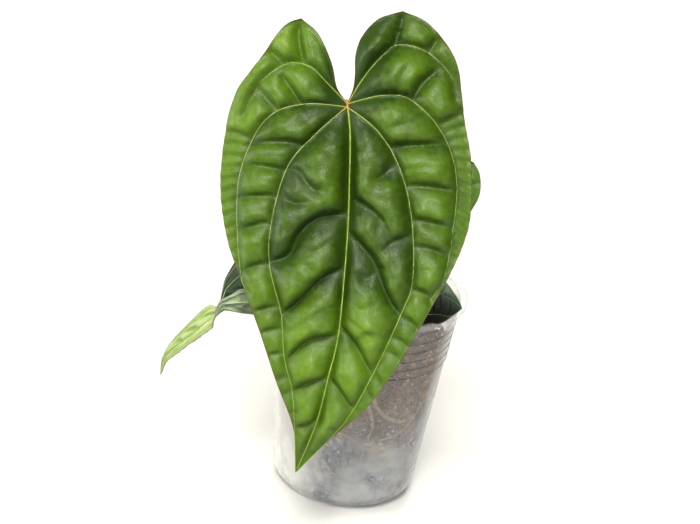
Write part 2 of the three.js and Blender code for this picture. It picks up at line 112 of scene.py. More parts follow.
RIGHT = {
    "sinus": [(0, 0), (2, 7.6), (2, 15), (1, 24.3), (3, 34), (10, 43.5), (21.5, 49.2)],
    "margin": [
        (21.5, 49.2), (34, 45), (45.5, 34.5), (52.7, 22.6), (58.4, 1.5), (65.2, -20.3), (68.7, -46),
        (67.2, -61), (61.7, -79), (53.6, -99.4), (43.6, -124.7), (31, -148.6), (14, -169.5),
        (-1, -LEAF_LENGTH),
    ],
    "main": [
        [(0, -1.5), (17.5, -12), (31, -29.5), (40, -53.5), (44.5, -83), (41, -101), (31, -133.5),
         (20, -160), (-1, -LEAF_LENGTH)],
        [(0, 0), (17, 6), (32, 5.5), (50, -9.5), (59.5, -30.5), (61, -55), (60, -78), (54.5, -92)],
        [(0, 0), (6.5, 14), (14, 25.5), (21.5, 32.5), (36.5, 30.5), (49.5, 20.5), (53, 8)],
    ],
    "branches": [
        [(32.5, 6.5), (35.5, 14.5), (42, 22.5)], [(19, 31), (21, 40), (22, 47)], [(36.5, 30.5), (40, 38)],
        [(9, -62), (17, -69), (23, -74.5), (29.5, -85.5), (35, -94.5), (41, -101)],
        [(11, -110), (18.5, -116.5), (24.5, -123.5), (31, -133.5)],
        [(8.5, -137), (15, -142), (19.5, -147.5), (23.5, -151)],
    ],
    "rungs": [
        [(25, -18.5), (36.5, -16), (50.5, -13.5)], [(35.5, -36.5), (46, -35.5), (57, -36)],
        [(40.5, -52.5), (49, -53), (60, -54.5)], [(43, -65.5), (51, -66), (59.5, -68.5)],
        [(44.5, -87), (50.5, -88), (56, -91)], [(40.5, -100.5), (46, -103), (51, -106.5)],
        [(38, -112), (43.5, -113.5), (47, -116)], [(35.5, -120), (41, -120.5), (44, -123.5)],
        [(30.5, -131), (34, -133), (36.5, -137.5)], [(27.5, -139), (31.5, -143), (33.5, -145)],
        [(23, -151), (27, -153)], [(15, -163), (17, -164.5)],
    ],
    "creases": [
        [(26.5, -28), (22.5, -33.5), (18.5, -36)], [(11, -47), (17.5, -49.5), (25.5, -55), (31.5, -64.5)],
        [(40, -61.5), (32.5, -65), (27.5, -71)], [(28.5, -78), (25, -81.5), (21.5, -85), (16, -82.5)],
    ],
    "faint": [
        [(32, -28.5), (42, -27), (56, -25)], [(43.5, -77), (52.5, -76.5), (59.5, -78)],
        [(38, -44.5), (48, -44), (60, -45)], [(42, -59.5), (51, -60), (60.5, -61)],
        [(25, 6), (26, 17), (30, 26)], [(15, 4.5), (16.5, 14), (19, 24)],
        [(10, -91.5), (16.5, -97.5), (23, -99.5), (28, -95.5)], [(42, 7), (50, 3)],
        [(22, -10), (34, -6), (47, -6)],
        [(10.8, -104), (20, -108), (29, -113)], [(20, -118), (26, -112), (37, -112)],
    ],
}
HALVES = [(LEFT, -1), (RIGHT, 1)]

# How each leaf hangs: its spine from above the sinus, past the sinus at the second point, to the
# tip, as place, facing, fold, droop, and the width of the left and the right half

LEAVES = {
    "front": {
        "length": 190.0, "relief": 8.0, "bend": 10.0, "grid": (340, 64), "slot": "leaf_green",
        "spine": [
            ((-24, -8, 276), (0, -0.75, 0.66), 9, 34, (1, 1)),
            ((-24, -30, 231.4), (0, -0.88, 0.47), 9, 34, (1, 1)),
            ((-24, -60, 160), (0, -0.95, 0.31), 10, 30, (1, 1)),
            ((-24, -79, 98), (0, -0.98, 0.2), 11, 25, (1, 1)),
            ((-24, -88, 50), (0, -0.99, 0.12), 12, 20, (1, 1)),
        ],
        "stalk": (2.3, 3.1, [(-2, 0, 98), (-13, 3, 130), (-20, 1, 175), (-24, -9, 212)]),
    },
    "back": {
        "length": 98.0, "relief": 2.8, "bend": 7.0, "grid": (240, 50), "slot": "leaf_green",
        "spine": [
            ((39, 27, 198), (0.3, -0.7, 0.65), 8, 30, (1, 1)),
            ((24, 17, 181), (0.3, -0.8, 0.5), 8, 30, (1, 1)),
            ((5, 13, 156), (0.3, -0.85, 0.35), 10, 26, (1.08, 1.08)),
            ((-14, 11, 131), (0.3, -0.9, 0.2), 11, 22, (1, 1)),
            ((-32, 11, 107), (0.3, -0.9, 0.1), 12, 20, (1, 1)),
        ],
        "stalk": (1.9, 2.6, [(2, 3, 98), (8, 15, 110), (16, 27, 135), (26, 32, 163)]),
    },
    "left": {
        "length": 96.0, "relief": 1.7, "bend": 4.0, "grid": (200, 44), "slot": "leaf_young",
        "spine": [
            ((-14, -40, 138), (-0.3, 0, 1), 50, 0, (0.7, 0.7)),
            ((-33, -45, 130.5), (-0.3, 0, 1), 60, 0, (0.8, 0.7)),
            ((-50, -46, 119.5), (-0.2, -0.1, 1), 82, 0, (1.1, 0.8)),
            ((-64, -46, 118.5), (-0.2, -0.05, 1), 86, 0, (1.1, 0.65)),
            ((-72.5, -46, 117.2), (-0.2, 0.35, 1), 60, 0, (0.72, 0.36)),
            ((-76, -46, 115.6), (-0.3, 0.1, 0.9), 24, 2, (0.2, 0.27)),
            ((-80, -46, 113.5), (-0.45, -0.4, 0.8), 12, 4, (0.4, 0.3)),
            ((-92, -46, 100), (-0.75, -0.35, 0.6), 20, 8, (0.48, 0.46)),
            ((-102.5, -46, 85.5), (-0.85, -0.4, 0.4), 15, 10, (0.64, 0.64)),
            ((-104, -46, 73), (-0.9, -0.4, 0.1), 15, 10, (1, 1)),
        ],
        "stalk": (1.6, 2.0, [(-3, -2, 98), (-10, -14, 108), (-20, -30, 118), (-27, -40, 123)]),
    },
    "right": {
        "length": 50.0, "relief": 0.5, "bend": 4.0, "grid": (120, 40), "slot": "leaf_dark",
        "spine": [
            ((-8, -14, 130), (0, -0.2, 1), 10, 24, (1, 1)),
            ((4, -16, 134), (0, -0.2, 1), 10, 24, (1.4, 1)),
            ((22, -19, 134), (0.1, -0.2, 1), -2, 16, (2.35, 1.1)),
            ((38, -21, 129.8), (0.3, -0.21, 1), -8, 7, (2.95, 1.7)),
            ((51, -20, 124), (0.45, -0.2, 1), -8, 4, (6, 6)),
        ],
        "stalk": (1.3, 1.8, [(3, -3, 98), (7, -12, 110), (5, -15, 122)]),
    },
}

# Colours and materials


def linear(code):
    """Turn an sRGB hex colour into the linear colour that shaders take."""
    channels = [int(code[i : i + 2], 16) / 255 for i in (0, 2, 4)]
    bent = [c / 12.92 if c <= 0.04045 else ((c + 0.055) / 1.055) ** 2.4 for c in channels]
    return (*bent, 1.0)


def add_node(tree, kind, settings=None):
    """Add a node. Each setting has a value, or the node or output that it is linked to."""
    node = tree.nodes.new(kind)
    for name, value in (settings or {}).items():
        if isinstance(value, bpy.types.Node):
            value = value.outputs[0]
        if isinstance(value, bpy.types.NodeSocket):
            tree.links.new(value, node.inputs[name])
        elif name == "stops":
            ramp = node.color_ramp.elements
            while len(ramp) < len(value):
                ramp.new(1.0)
            for stop, (position, colour) in zip(ramp, value):
                stop.position = position
                stop.color = linear(colour)
        elif isinstance(name, int) or name in node.inputs:
            node.inputs[name].default_value = value
        else:
            setattr(node, name, value)
    return node


def start_material(name):
    """Make an empty material."""
    material = bpy.data.materials.new(name)
    material.use_nodes = True
    material.node_tree.nodes.clear()
    return material, material.node_tree


def finish_material(tree, settings):
    """Give a material its shader and its output."""
    shader = add_node(tree, "ShaderNodeBsdfPrincipled", settings)
    add_node(tree, "ShaderNodeOutputMaterial", {"Surface": shader})


def leaf_skin(name, colours, roughness, shine):
    """Waxy leaf skin, grown: soft sheen, a fine net of veins, and painted shade: deeper green in the middle
    panels and in the valleys of the quilting.
    """
    material, tree = start_material(name)
    plan = add_node(tree, "ShaderNodeUVMap", {"uv_map": "plan"})
    relief = add_node(tree, "ShaderNodeAttribute", {"attribute_name": "relief"}).outputs["Fac"]
    tone = add_node(tree, "ShaderNodeAttribute", {"attribute_name": "tone"}).outputs["Fac"]
    # Blotches a finger's width apart, and mottling of about 3 mm
    blotch = add_node(tree, "ShaderNodeTexNoise", {"Scale": 70.0, "Detail": 3.0, "Vector": plan})
    mottle = add_node(tree, "ShaderNodeTexNoise", {"Scale": 330.0, "Detail": 4.0, "Vector": plan})
    # The green's level: blotches and mottling, with painted light and shade from the tone attribute and
    # painted shade in the relief's valleys
    level = add_node(tree, "ShaderNodeMath", {"operation": "MULTIPLY_ADD", 0: blotch, 1: 0.3, 2: -0.2})
    for source, share in ((relief, 0.3), (tone, 0.4), (mottle, 0.3)):
        level = add_node(
            tree, "ShaderNodeMath", {"operation": "MULTIPLY_ADD", 0: source, 1: share, 2: level})
    green = add_node(
        tree, "ShaderNodeValToRGB", {"stops": list(zip((0.0, 0.4, 0.9), colours)), "Fac": level})
    # The finest net has meshes of 1.8 mm
    net = add_node(
        tree, "ShaderNodeTexVoronoi", {"feature": "DISTANCE_TO_EDGE", "Scale": 550.0, "Vector": plan})
    lines = add_node(tree, "ShaderNodeMapRange", {"Value": net.outputs["Distance"], "From Max": 0.12})
    # Grain of 0.8 mm that breaks up the edge of each sheen
    fine = add_node(tree, "ShaderNodeTexNoise", {"Scale": 1200.0, "Detail": 2.0, "Vector": plan})
    grain = add_node(tree, "ShaderNodeMath", {"operation": "MULTIPLY_ADD", 0: fine, 1: 2.0, 2: lines})
    bump = add_node(tree, "ShaderNodeBump", {"Strength": 0.3, "Distance": 0.0002, "Height": grain})
    gloss = add_node(
        tree, "ShaderNodeMapRange", {"Value": mottle, "To Min": roughness - 0.08, "To Max": roughness + 0.1})
    finish_material(tree, {
        "Base Color": green, "Roughness": gloss, "Normal": bump, "IOR": 1.45, "Specular IOR Level": shine})
    return material


def tissue(name, colours, size, roughness, place=None, reach=0.0):
    """Plant tissue, grown: satin, streaked in two colours, and amber round one place if given."""
    material, tree = start_material(name)
    where = add_node(tree, "ShaderNodeTexCoord").outputs["Object"]
    streak = add_node(tree, "ShaderNodeTexNoise", {"Scale": 1 / size, "Detail": 4.0, "Vector": where})
    colour = add_node(tree, "ShaderNodeValToRGB", {"stops": list(zip((0.3, 0.7), colours)), "Fac": streak})
    if place is not None:
        far = add_node(tree, "ShaderNodeVectorMath", {"operation": "DISTANCE", 0: where, 1: place})
        near = add_node(tree, "ShaderNodeMapRange", {
            "Value": far.outputs["Value"], "From Min": reach / 4, "From Max": reach, "To Min": 1.0,
            "To Max": 0.0})
        colour = add_node(
            tree, "ShaderNodeMix", {"data_type": "RGBA", 0: near, 6: colour, 7: linear("C89A38")}).outputs[2]
    bump = add_node(tree, "ShaderNodeBump", {"Strength": 0.3, "Distance": 0.0002, "Height": streak})
    finish_material(tree, {"Base Color": colour, "Roughness": roughness, "Normal": bump, "IOR": 1.45})
    return material


def moulded_plastic(name, colour, clearness):
    """Thin injection-moulded polypropylene: clear seen straight on, whitened where the wall turns away,
    which is milky haze in part and in part a painted reflection of the white room.
    """
    material, tree = start_material(name)
    where = add_node(tree, "ShaderNodeTexCoord").outputs["Object"]
    facing = add_node(tree, "ShaderNodeLayerWeight", {"Blend": 0.5}).outputs["Facing"]
    # Whiter towards grazing angles: haze in part, and in part a painted reflection of the white room
    haze_and_glare = add_node(
        tree, "ShaderNodeMapRange",
        {"Value": facing, "From Min": 0.6, "To Min": 1 - clearness, "To Max": 0.95})
    # A whitened patch on the left of the wall, stretched upwards: mist in part, and in part a painted
    # reflection of the white surroundings on the wall's left side
    flat = add_node(tree, "ShaderNodeVectorMath", {"operation": "MULTIPLY", 0: where, 1: (1.0, 1.0, 0.2)})
    off = add_node(
        tree, "ShaderNodeVectorMath", {"operation": "DISTANCE", 0: flat, 1: (-0.044, -0.022, 0.01)})
    mist_and_glare = add_node(tree, "ShaderNodeMapRange", {
        "Value": off.outputs["Value"], "From Min": 0.01, "From Max": 0.038, "To Min": 0.55, "To Max": 0.0})
    haze_and_glare = add_node(tree, "ShaderNodeMath", {"operation": "ADD", 0: haze_and_glare, 1: mist_and_glare})
    # Damp that stands in clouds and thins out upwards
    height = add_node(tree, "ShaderNodeSeparateXYZ", {"Vector": where}).outputs["Z"]
    low = add_node(
        tree, "ShaderNodeMapRange", {"Value": height, "From Max": 0.07, "To Min": 0.36, "To Max": 0.0})
    cloud = add_node(tree, "ShaderNodeTexNoise", {"Scale": 60.0, "Detail": 5.0, "Vector": where})
    patches = add_node(tree, "ShaderNodeMapRange", {"Value": cloud, "From Min": 0.38, "From Max": 0.62})
    damp = add_node(tree, "ShaderNodeMath", {"operation": "MULTIPLY", 0: low, 1: patches})
    alpha = add_node(tree, "ShaderNodeMath", {"operation": "ADD", "use_clamp": True, 0: haze_and_glare, 1: damp})
    ripple = add_node(tree, "ShaderNodeTexNoise", {"Scale": 90.0, "Detail": 2.0, "Vector": where})
    bump = add_node(tree, "ShaderNodeBump", {"Strength": 0.15, "Distance": 0.0004, "Height": ripple})
    gloss = add_node(tree, "ShaderNodeMapRange", {"Value": cloud, "To Min": 0.18, "To Max": 0.36})
    finish_material(tree, {
        "Base Color": colour, "Alpha": alpha, "Roughness": gloss, "Normal": bump, "IOR": 1.49})
    return material


def crumb(name, stops, size, roughness, depth, grey_below=None):
    """Broken natural lumps, dried or burnt: rough, in patches of the stops, and dusted grey low down."""
    material, tree = start_material(name)
    where = add_node(tree, "ShaderNodeTexCoord").outputs["Object"]
    patch = add_node(
        tree, "ShaderNodeTexNoise", {"Scale": 1 / size, "Detail": 6.0, "Roughness": 0.65, "Vector": where})
    colour = add_node(tree, "ShaderNodeValToRGB", {"stops": stops, "Fac": patch})
    if grey_below is not None:
        height = add_node(tree, "ShaderNodeSeparateXYZ", {"Vector": where}).outputs["Z"]
        wander = add_node(
            tree, "ShaderNodeMath", {"operation": "MULTIPLY_ADD", 0: patch, 1: 0.03, 2: height})
        dust = add_node(tree, "ShaderNodeMapRange", {
            "Value": wander, "From Min": grey_below + 0.01, "From Max": grey_below + 0.02, "To Min": 0.9,
            "To Max": 0.0})
        pale = add_node(
            tree, "ShaderNodeValToRGB", {"stops": [(0.35, "5A5E6C"), (0.6, "A4A8B4")], "Fac": patch})
        colour = add_node(
            tree, "ShaderNodeMix", {"data_type": "RGBA", 0: dust, 6: colour, 7: pale}).outputs[2]
    grit = add_node(tree, "ShaderNodeTexNoise", {"Scale": 1500.0, "Detail": 3.0, "Vector": where})
    bump = add_node(tree, "ShaderNodeBump", {"Strength": 0.6, "Distance": depth, "Height": grit})
    finish_material(tree, {"Base Color": colour, "Roughness": roughness, "Normal": bump})
    return material


def water(name):
    """Condensed water: clear and very smooth, with a white rim that is a painted highlight."""
    material, tree = start_material(name)
    facing = add_node(tree, "ShaderNodeLayerWeight", {"Blend": 0.4}).outputs["Facing"]
    # Whiter towards the rim: painted highlight
    edge = add_node(tree, "ShaderNodeMapRange", {"Value": facing, "To Min": 0.2, "To Max": 0.8})
    finish_material(tree, {"Base Color": linear("F2F5F5"), "Alpha": edge, "Roughness": 0.05, "IOR": 1.33})
    return material


# Curves and grids


def span(start, stop, leave, arrive, t):
    """Points on the way from start to stop, with these directions at its ends."""
    cubic = (2 * start - 2 * stop + leave + arrive) * t**3
    square = (3 * stop - 3 * start - 2 * leave - arrive) * t**2
    return cubic + square + leave * t + start


def smooth_curve(points, steps=24):
    """A uniform Catmull-Rom curve through the points of the plan."""
    path = np.asarray(points, float)
    ends = np.vstack([path[:1], path, path[-1:]])
    t = np.linspace(0, 1, steps, endpoint=False)[:, None]
    spans = []
    for before, start, stop, after in zip(ends, ends[1:], ends[2:], ends[3:]):
        spans.append(span(start, stop, (stop - before) / 2, (after - start) / 2, t))
    return np.vstack([*spans, path[-1:]])


def even_curve(points, steps=40):
    """A centripetal Catmull-Rom curve through points in space."""
    path = np.asarray(points, float)
    ends = np.vstack([2 * path[:1] - path[1:2], path, 2 * path[-1:] - path[-2:-1]])
    t = np.linspace(0, 1, steps, endpoint=False)[:, None]
    spans = []
    for before, start, stop, after in zip(ends, ends[1:], ends[2:], ends[3:]):
        first, second, third = (
            math.sqrt(np.linalg.norm(b - a)) for a, b in ((before, start), (start, stop), (stop, after)))
        leave = ((start - before) / first - (stop - before) / (first + second)) * second + (stop - start)
        arrive = ((after - stop) / third - (after - start) / (second + third)) * second + (stop - start)
        spans.append(span(start, stop, leave, arrive, t))
    return np.vstack([*spans, path[-1:]])


def lengths_along(curve):
    """The run of the curve at each of its points."""
    return np.concatenate([[0], np.cumsum(np.linalg.norm(np.diff(curve, axis=0), axis=1))])


def at_share(curve, share):
    """The points at these shares of the curve's length."""
    run = lengths_along(curve)
    share = np.asarray(share)
    return np.stack([np.interp(share * run[-1], run, curve[:, k]) for k in range(curve.shape[1])], -1)


def resampled(points, gap):
    """A smooth curve through the points, cut at equal gaps."""
    curve = smooth_curve(points)
    count = max(3, int(lengths_along(curve)[-1] / gap) + 1)
    return at_share(curve, np.linspace(0, 1, count))


# The quilted surface of the plan, held as heights in square cells

CELL = 0.5
GRID_LOW = (-68.0, -198.0)
GRID_SHAPE = (520, 290)
SWEEPS = 900
FOLD_STEPS = 12
MIDRIB_CURVE = smooth_curve(MIDRIB, 60)

# For each kind of vein: its width beside the midrib's, how hard it pinches the broad and the small
# cushions, and how much of its hold has gone at its end
VEINS = {
    "main": (0.56, 0.5, 50.0, 0.0),
    "branches": (0.42, 12.0, 20.0, 0.0),
    "rungs": (0.36, 0.9, 20.0, 0.0),
    "creases": (0.3, 0.3, 6.0, 1.0),
    "faint": (0.22, 0.0, 0.25, 0.0),
    "marginal": (0.24, 0.8, 30.0, 0.0),
}


def midrib_u(v):
    """Where the midrib lies at a height of the plan."""
    return np.interp(v, MIDRIB_CURVE[::-1, 1], MIDRIB_CURVE[::-1, 0])


def soft_noise(size, seed):
    """Smooth random heights over the plan's grid, with unit spread."""
    white = np.random.default_rng(seed).standard_normal(GRID_SHAPE)
    across = np.fft.rfftfreq(GRID_SHAPE[1], CELL)[None]
    along = np.fft.fftfreq(GRID_SHAPE[0], CELL)[:, None]
    kept = np.fft.rfft2(white) * np.exp(-((across**2 + along**2) * size**2))
    soft = np.fft.irfft2(kept, GRID_SHAPE)
    return soft / soft.std()


def marginal_rungs(half):
    """Short cross veins from the outer vein to the margin, about 6 mm apart."""
    outer = resampled(half["main"][1], 0.5)
    margin = resampled(half["margin"], 6.2)
    rungs = []
    for point in margin[2:]:
        near = outer[np.argmin(np.linalg.norm(outer - point - np.array([0, 3.0]), axis=1))]
        if np.linalg.norm(near - point) < 16 and near[1] > -92 and near[1] < -3:
            rungs.append([near, (near + point) / 2 + np.array([0, 0.5]), near + 0.93 * (point - near)])
    return rungs


def vein_lines(half):
    """Each vein of one half: its points and its kind's numbers."""
    drawn = {**half, "marginal": marginal_rungs(half)}
    return [(line, *numbers) for kind, numbers in VEINS.items() for line in drawn[kind]]


def main_veins(number, v):
    """Where the left and the right main vein of this number lie at heights of the plan."""
    veins = (resampled(half["main"][number], 1.0)[::-1] for half in (LEFT, RIGHT))
    return [np.interp(v, vein[:, 1], vein[:, 0]) for vein in veins]


def middle_panels():
    """The cells of the plan that lie between the two inner veins."""
    v = GRID_LOW[1] + CELL * np.arange(GRID_SHAPE[0])[:, None]
    u = GRID_LOW[0] + CELL * np.arange(GRID_SHAPE[1])[None]
    left, right = main_veins(0, v)
    return (u > left) & (u < right) & (v < 0) & (v > -LEAF_LENGTH)


def rise_between(pinned, reach, lean):
    """Heights that swell from 0 in the pinned veins towards 1 over reach, with crests leaning down."""
    pull = (CELL / reach) ** 2
    rise = np.zeros(GRID_SHAPE)
    held = 4 + pull + pinned[1:-1, 1:-1]
    tilt = lean * CELL / 2
    for _ in range(SWEEPS):
        below_above = rise[:-2, 1:-1] * (1 - tilt) + rise[2:, 1:-1] * (1 + tilt)
        rise[1:-1, 1:-1] = (below_above + rise[1:-1, :-2] + rise[1:-1, 2:] + pull) / held
    return rise / np.quantile(rise[middle_panels()], 0.99)


def pinned_cells(lines):
    """How hard veins hold the surface down, over the plan."""
    pin = np.zeros(GRID_SHAPE)
    for points, depth, fade in lines:
        u, v = resampled(points, 0.25).T
        hold = depth * (1 - fade * np.linspace(0, 1, len(u))) / 2
        # A main vein lies in a flat groove, three cells wide
        for down, over in [(0, 0), (1, 0), (-1, 0), (0, 1), (0, -1)][: 5 if depth > 30 else 1]:
            y = (v - GRID_LOW[1]) / CELL + down
            x = (u - GRID_LOW[0]) / CELL + over
            row = np.floor(y).astype(int)
            column = np.floor(x).astype(int)
            for i in (0, 1):
                for j in (0, 1):
                    share = (1 - np.abs(y - row - i)) * (1 - np.abs(x - column - j))
                    np.add.at(pin, (row + i, column + j), hold * share)
    return pin


def quilting():
    """Heights of the quilting over the plan, 0 in the veins and about 1 on the largest cushions."""
    lines = [(MIDRIB, 1.0, 50.0, 50.0, 0.0)]
    for half, _ in HALVES:
        lines += vein_lines(half)
        lines += [(half[edge], 0.0, 0.5, 0.8, 0.0) for edge in ("margin", "sinus")]
    broad = rise_between(pinned_cells([(line[0], line[2], line[4]) for line in lines]), 14.0, 0.2)
    small = rise_between(pinned_cells([(line[0], line[3], line[4]) for line in lines]), 6.0, 0.6)
    uneven = 0.08 * soft_noise(10.0, 3) + 0.015 * soft_noise(5.0, 4)
    rise = 0.75 * broad + 0.55 * small * (1 + uneven) + 0.35 * uneven * np.clip(broad * 2, 0, 1)
    # Round off the steps where a slanting vein crosses the grid
    for axis in (0, 1, 0, 1):
        rise = rise / 2 + (np.roll(rise, 1, axis) + np.roll(rise, -1, axis)) / 4
    return rise


def fade(values, start, stop):
    """How far the values are from start to stop, from 0 to 1."""
    return np.clip((values - start) / (stop - start), 0, 1)


def painted_light_and_shade(slot, u, v):
    """Painted light and shade for a leaf's upper face, from -1, painted darker as if shaded, in the deep
    green middle panels to 1, painted paler as if lit, near the tip and margin.
    """
    # The small right leaf: the far half is painted paler as if lit, and the near half darker as if shaded
    if slot == "leaf_dark":
        return np.clip((u - midrib_u(v)) / 8, -0.6, 0.9)
    # The young left leaf: the blade before the twist is painted dark as if shaded, and the tip beyond it
    # pale lime, partly a young leaf's own colour and partly painted light
    if slot == "leaf_young":
        return fade(v, -83, -89) * 1.7 - 1.2
    left, right = main_veins(0, v)
    # Painted shade on the middle panels, the sinus sides and near the junction; painted light on the lower
    # blade and on the band outside the outer veins; the left lobe is made paler
    panel = fade(np.minimum(u - left, right - u), -2.5, 2.5) * (v < 0)
    low = fade(v, -78, -123)
    near = np.exp(-((u / 40) ** 2) - ((v + 10) / 24) ** 2)
    left_lobe = fade(u, -8, -18) * fade(v, -4, 4)
    left, right = main_veins(1, v)
    band = fade(np.maximum(left - u, u - right), 0, 4) * fade(v, -100, -90) * fade(v, 5, -10)
    sinus_side = fade(np.abs(u - 2), 28.6, 6.6) * fade(v, -4, 4)
    outside = (1 - panel) * (0.35 * low - 0.05 - 0.5 * near + 0.45 * left_lobe)
    return outside + panel * (0.9 * low - 0.65) + 0.5 * band - 0.8 * sinus_side


def read_grid(grid, u, v):
    """The grid's value at places of the plan."""
    x = np.clip((u - GRID_LOW[0]) / CELL, 0, GRID_SHAPE[1] - 1.001)
    y = np.clip((v - GRID_LOW[1]) / CELL, 0, GRID_SHAPE[0] - 1.001)
    i = x.astype(int)
    j = y.astype(int)
    x = x - i
    y = y - j
    low = grid[j, i] * (1 - x) + grid[j, i + 1] * x
    high = grid[j + 1, i] * (1 - x) + grid[j + 1, i + 1] * x
    return low * (1 - y) + high * y


def plan_patch(half, along, across):
    """Places of the plan, from the midrib to the margin and from the sinus edge to the tip."""
    sinus = smooth_curve(half["sinus"], 60)
    margin = smooth_curve(half["margin"], 60)
    middle = at_share(MIDRIB_CURVE, along)
    edge = at_share(margin, along**LADDER_LEVEL)
    inner = at_share(sinus, across)
    a = along[..., None]
    b = across[..., None]
    return middle * (1 - b) + edge * b + (inner - sinus[-1] * b) * (1 - a)


def read_along(at, marks, values):
    """Points or directions read off at places between the marks."""
    return np.stack([np.interp(at, marks, column) for column in zip(*values)], -1)


def carriage(leaf, v):
    """The blade's middle, its facing, the direction across it and its bends at heights of the plan."""
    places, facings, folds, droops, widths = zip(*leaf["spine"])
    curve = even_curve(places)
    run = lengths_along(curve)
    marks = run[[round((len(run) - 1) * i / (len(places) - 1)) for i in range(len(places))]]
    wanted = marks[1] - v * (run[-1] - marks[1]) / LEAF_LENGTH
    at = np.clip(wanted, 0, run[-1])
    down = read_along(at, run, np.gradient(curve, run, axis=0))
    down /= np.linalg.norm(down, axis=-1, keepdims=True)
    facing = read_along(at, marks, facings)
    facing -= down * (facing * down).sum(-1, keepdims=True)
    facing /= np.linalg.norm(facing, axis=-1, keepdims=True)
    centre = read_along(at, run, curve) + down * (wanted - at)[..., None]
    bends = [np.interp(at, marks, values) for values in (folds, droops, *zip(*widths))]
    return centre, facing, np.cross(facing, down), bends


def on_blade(leaf, u, v, sign, lift):
    """Points that stand proud of the leaf's middle surface by lift, and the upper face's direction."""
    scale = leaf["length"] / LEAF_LENGTH
    centre, facing, aside, (fold, droop, left, right) = carriage(leaf, v)
    middle = midrib_u(v)
    reach = np.abs(u - middle) * scale * np.where(sign < 0, left, right)
    across = np.zeros_like(reach)
    rise = np.zeros_like(reach)
    # The slope grows outward, so the surface is followed in steps, and the last one is the place itself
    for step in [*((i + 0.5) / FOLD_STEPS for i in range(FOLD_STEPS)), 1]:
        q = reach * step
        sag = droop * (q / (PLAN_HALF_WIDTH * scale)) ** 2
        angle = np.radians(fold * (1 - np.exp(-q / leaf["bend"])) - sag)
        if step < 1:
            across += np.cos(angle) * reach / FOLD_STEPS
            rise += np.sin(angle) * reach / FOLD_STEPS
    turned = angle[..., None]
    side = np.sign(sign) * np.ones_like(reach)
    out = facing * np.cos(turned) - aside * side[..., None] * np.sin(turned)
    base = centre + aside * (middle * scale + side * across)[..., None] + facing * rise[..., None]
    return base + out * lift[..., None], out


# Meshes


def only(*pieces):
    """Leave only these pieces selected, the first of them active."""
    if bpy.context.object and bpy.context.object.mode != "OBJECT":
        bpy.ops.object.mode_set(mode="OBJECT")
    bpy.ops.object.select_all(action="DESELECT")
    for piece in pieces:
        piece.select_set(True)
    bpy.context.view_layer.objects.active = pieces[0] if pieces else None
def smooth(piece, degrees):
    """Shade a piece smooth, apart from edges sharper than this angle."""
    only(piece)
    bpy.ops.object.shade_smooth_by_angle(angle=math.radians(degrees))
def mesh_piece(name, points, faces):
    """Make a mesh object from points in metres and faces."""
    data = bpy.data.meshes.new(name)
    data.from_pydata(points.tolist(), [], faces)
    data.update()
    piece = bpy.data.objects.new(name, data)
    bpy.context.scene.collection.objects.link(piece)
    return piece


def settle(piece, materials, nodes=()):
    """Give a finished piece its materials, the body it rides on and the nodes it replaces."""
    if not piece.data.polygons:
        raise RuntimeError(f"{piece.name} has no faces")
    piece.data.materials.clear()
    for material in materials:
        piece.data.materials.append(material)
    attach(piece, "root")
    if nodes:
        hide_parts(*nodes)


def tubes(name, runs, sides=6):
    """One mesh of round tubes. A run is its points and the radius at each, in millimetres."""
    data = bpy.data.curves.new(name, "CURVE")
    data.dimensions = "3D"
    data.bevel_depth = MM
    data.bevel_resolution = (sides - 4) // 2
    data.use_fill_caps = True
    for points, radii in runs:
        spline = data.splines.new("POLY")
        spline.points.add(len(points) - 1)
        places = np.hstack([np.asarray(points) * MM, np.ones((len(points), 1))])
        spline.points.foreach_set("co", places.ravel())
        spline.points.foreach_set("radius", np.asarray(radii, float))
        spline.use_smooth = True
    piece = bpy.data.objects.new(name, data)
    bpy.context.scene.collection.objects.link(piece)
    only(piece)
    bpy.ops.object.convert(target="MESH")
    piece = bpy.context.object
    piece.name = name
    smooth(piece, 60)
    return piece


def turned_piece(name, profile, sides):
    """Model a closed turned shape: a ring is extruded, resized and lifted along the profile."""
    only()
    radius, height = profile[0]
    bpy.ops.mesh.primitive_circle_add(
        vertices=sides, radius=radius * MM, fill_type="NOTHING", location=(0, 0, height * MM))
    piece = bpy.context.object
    piece.name = name
    piece.data.name = name
    bpy.ops.object.transform_apply(location=True, rotation=True, scale=True)
    bpy.ops.object.mode_set(mode="EDIT")
    bpy.ops.mesh.select_all(action="SELECT")
    bpy.ops.mesh.edge_face_add()
    bpy.ops.mesh.select_mode(type="EDGE")
    for new_radius, new_height in profile[1:]:
        bpy.ops.mesh.extrude_region_move(
            TRANSFORM_OT_translate={"value": (0, 0, (new_height - height) * MM)})
        factor = new_radius / radius
        bpy.ops.transform.resize(value=(factor, factor, 1), center_override=(0, 0, new_height * MM))
        radius, height = new_radius, new_height
    bpy.ops.mesh.edge_face_add()
    bpy.ops.mesh.select_all(action="SELECT")
    bpy.ops.mesh.normals_make_consistent(inside=False)
    bpy.ops.object.mode_set(mode="OBJECT")
    return piece


def taken(piece):
    """The points and faces of a modelled shape, which is then removed from the scene."""
    points = np.array([vertex.co[:] for vertex in piece.data.vertices])
    faces = [list(face.vertices) for face in piece.data.polygons]
    bpy.data.objects.remove(piece)
    return points, faces


def random_turn(random):
    """A random rotation."""
    q = random.standard_normal(4)
    w, x, y, z = q / np.linalg.norm(q)
    return np.array([
        [1 - 2 * (y * y + z * z), 2 * (x * y - z * w), 2 * (x * z + y * w)],
        [2 * (x * y + z * w), 1 - 2 * (x * x + z * z), 2 * (y * z - x * w)],
        [2 * (x * z - y * w), 2 * (y * z + x * w), 1 - 2 * (x * x + y * y)],
    ])


# Settings


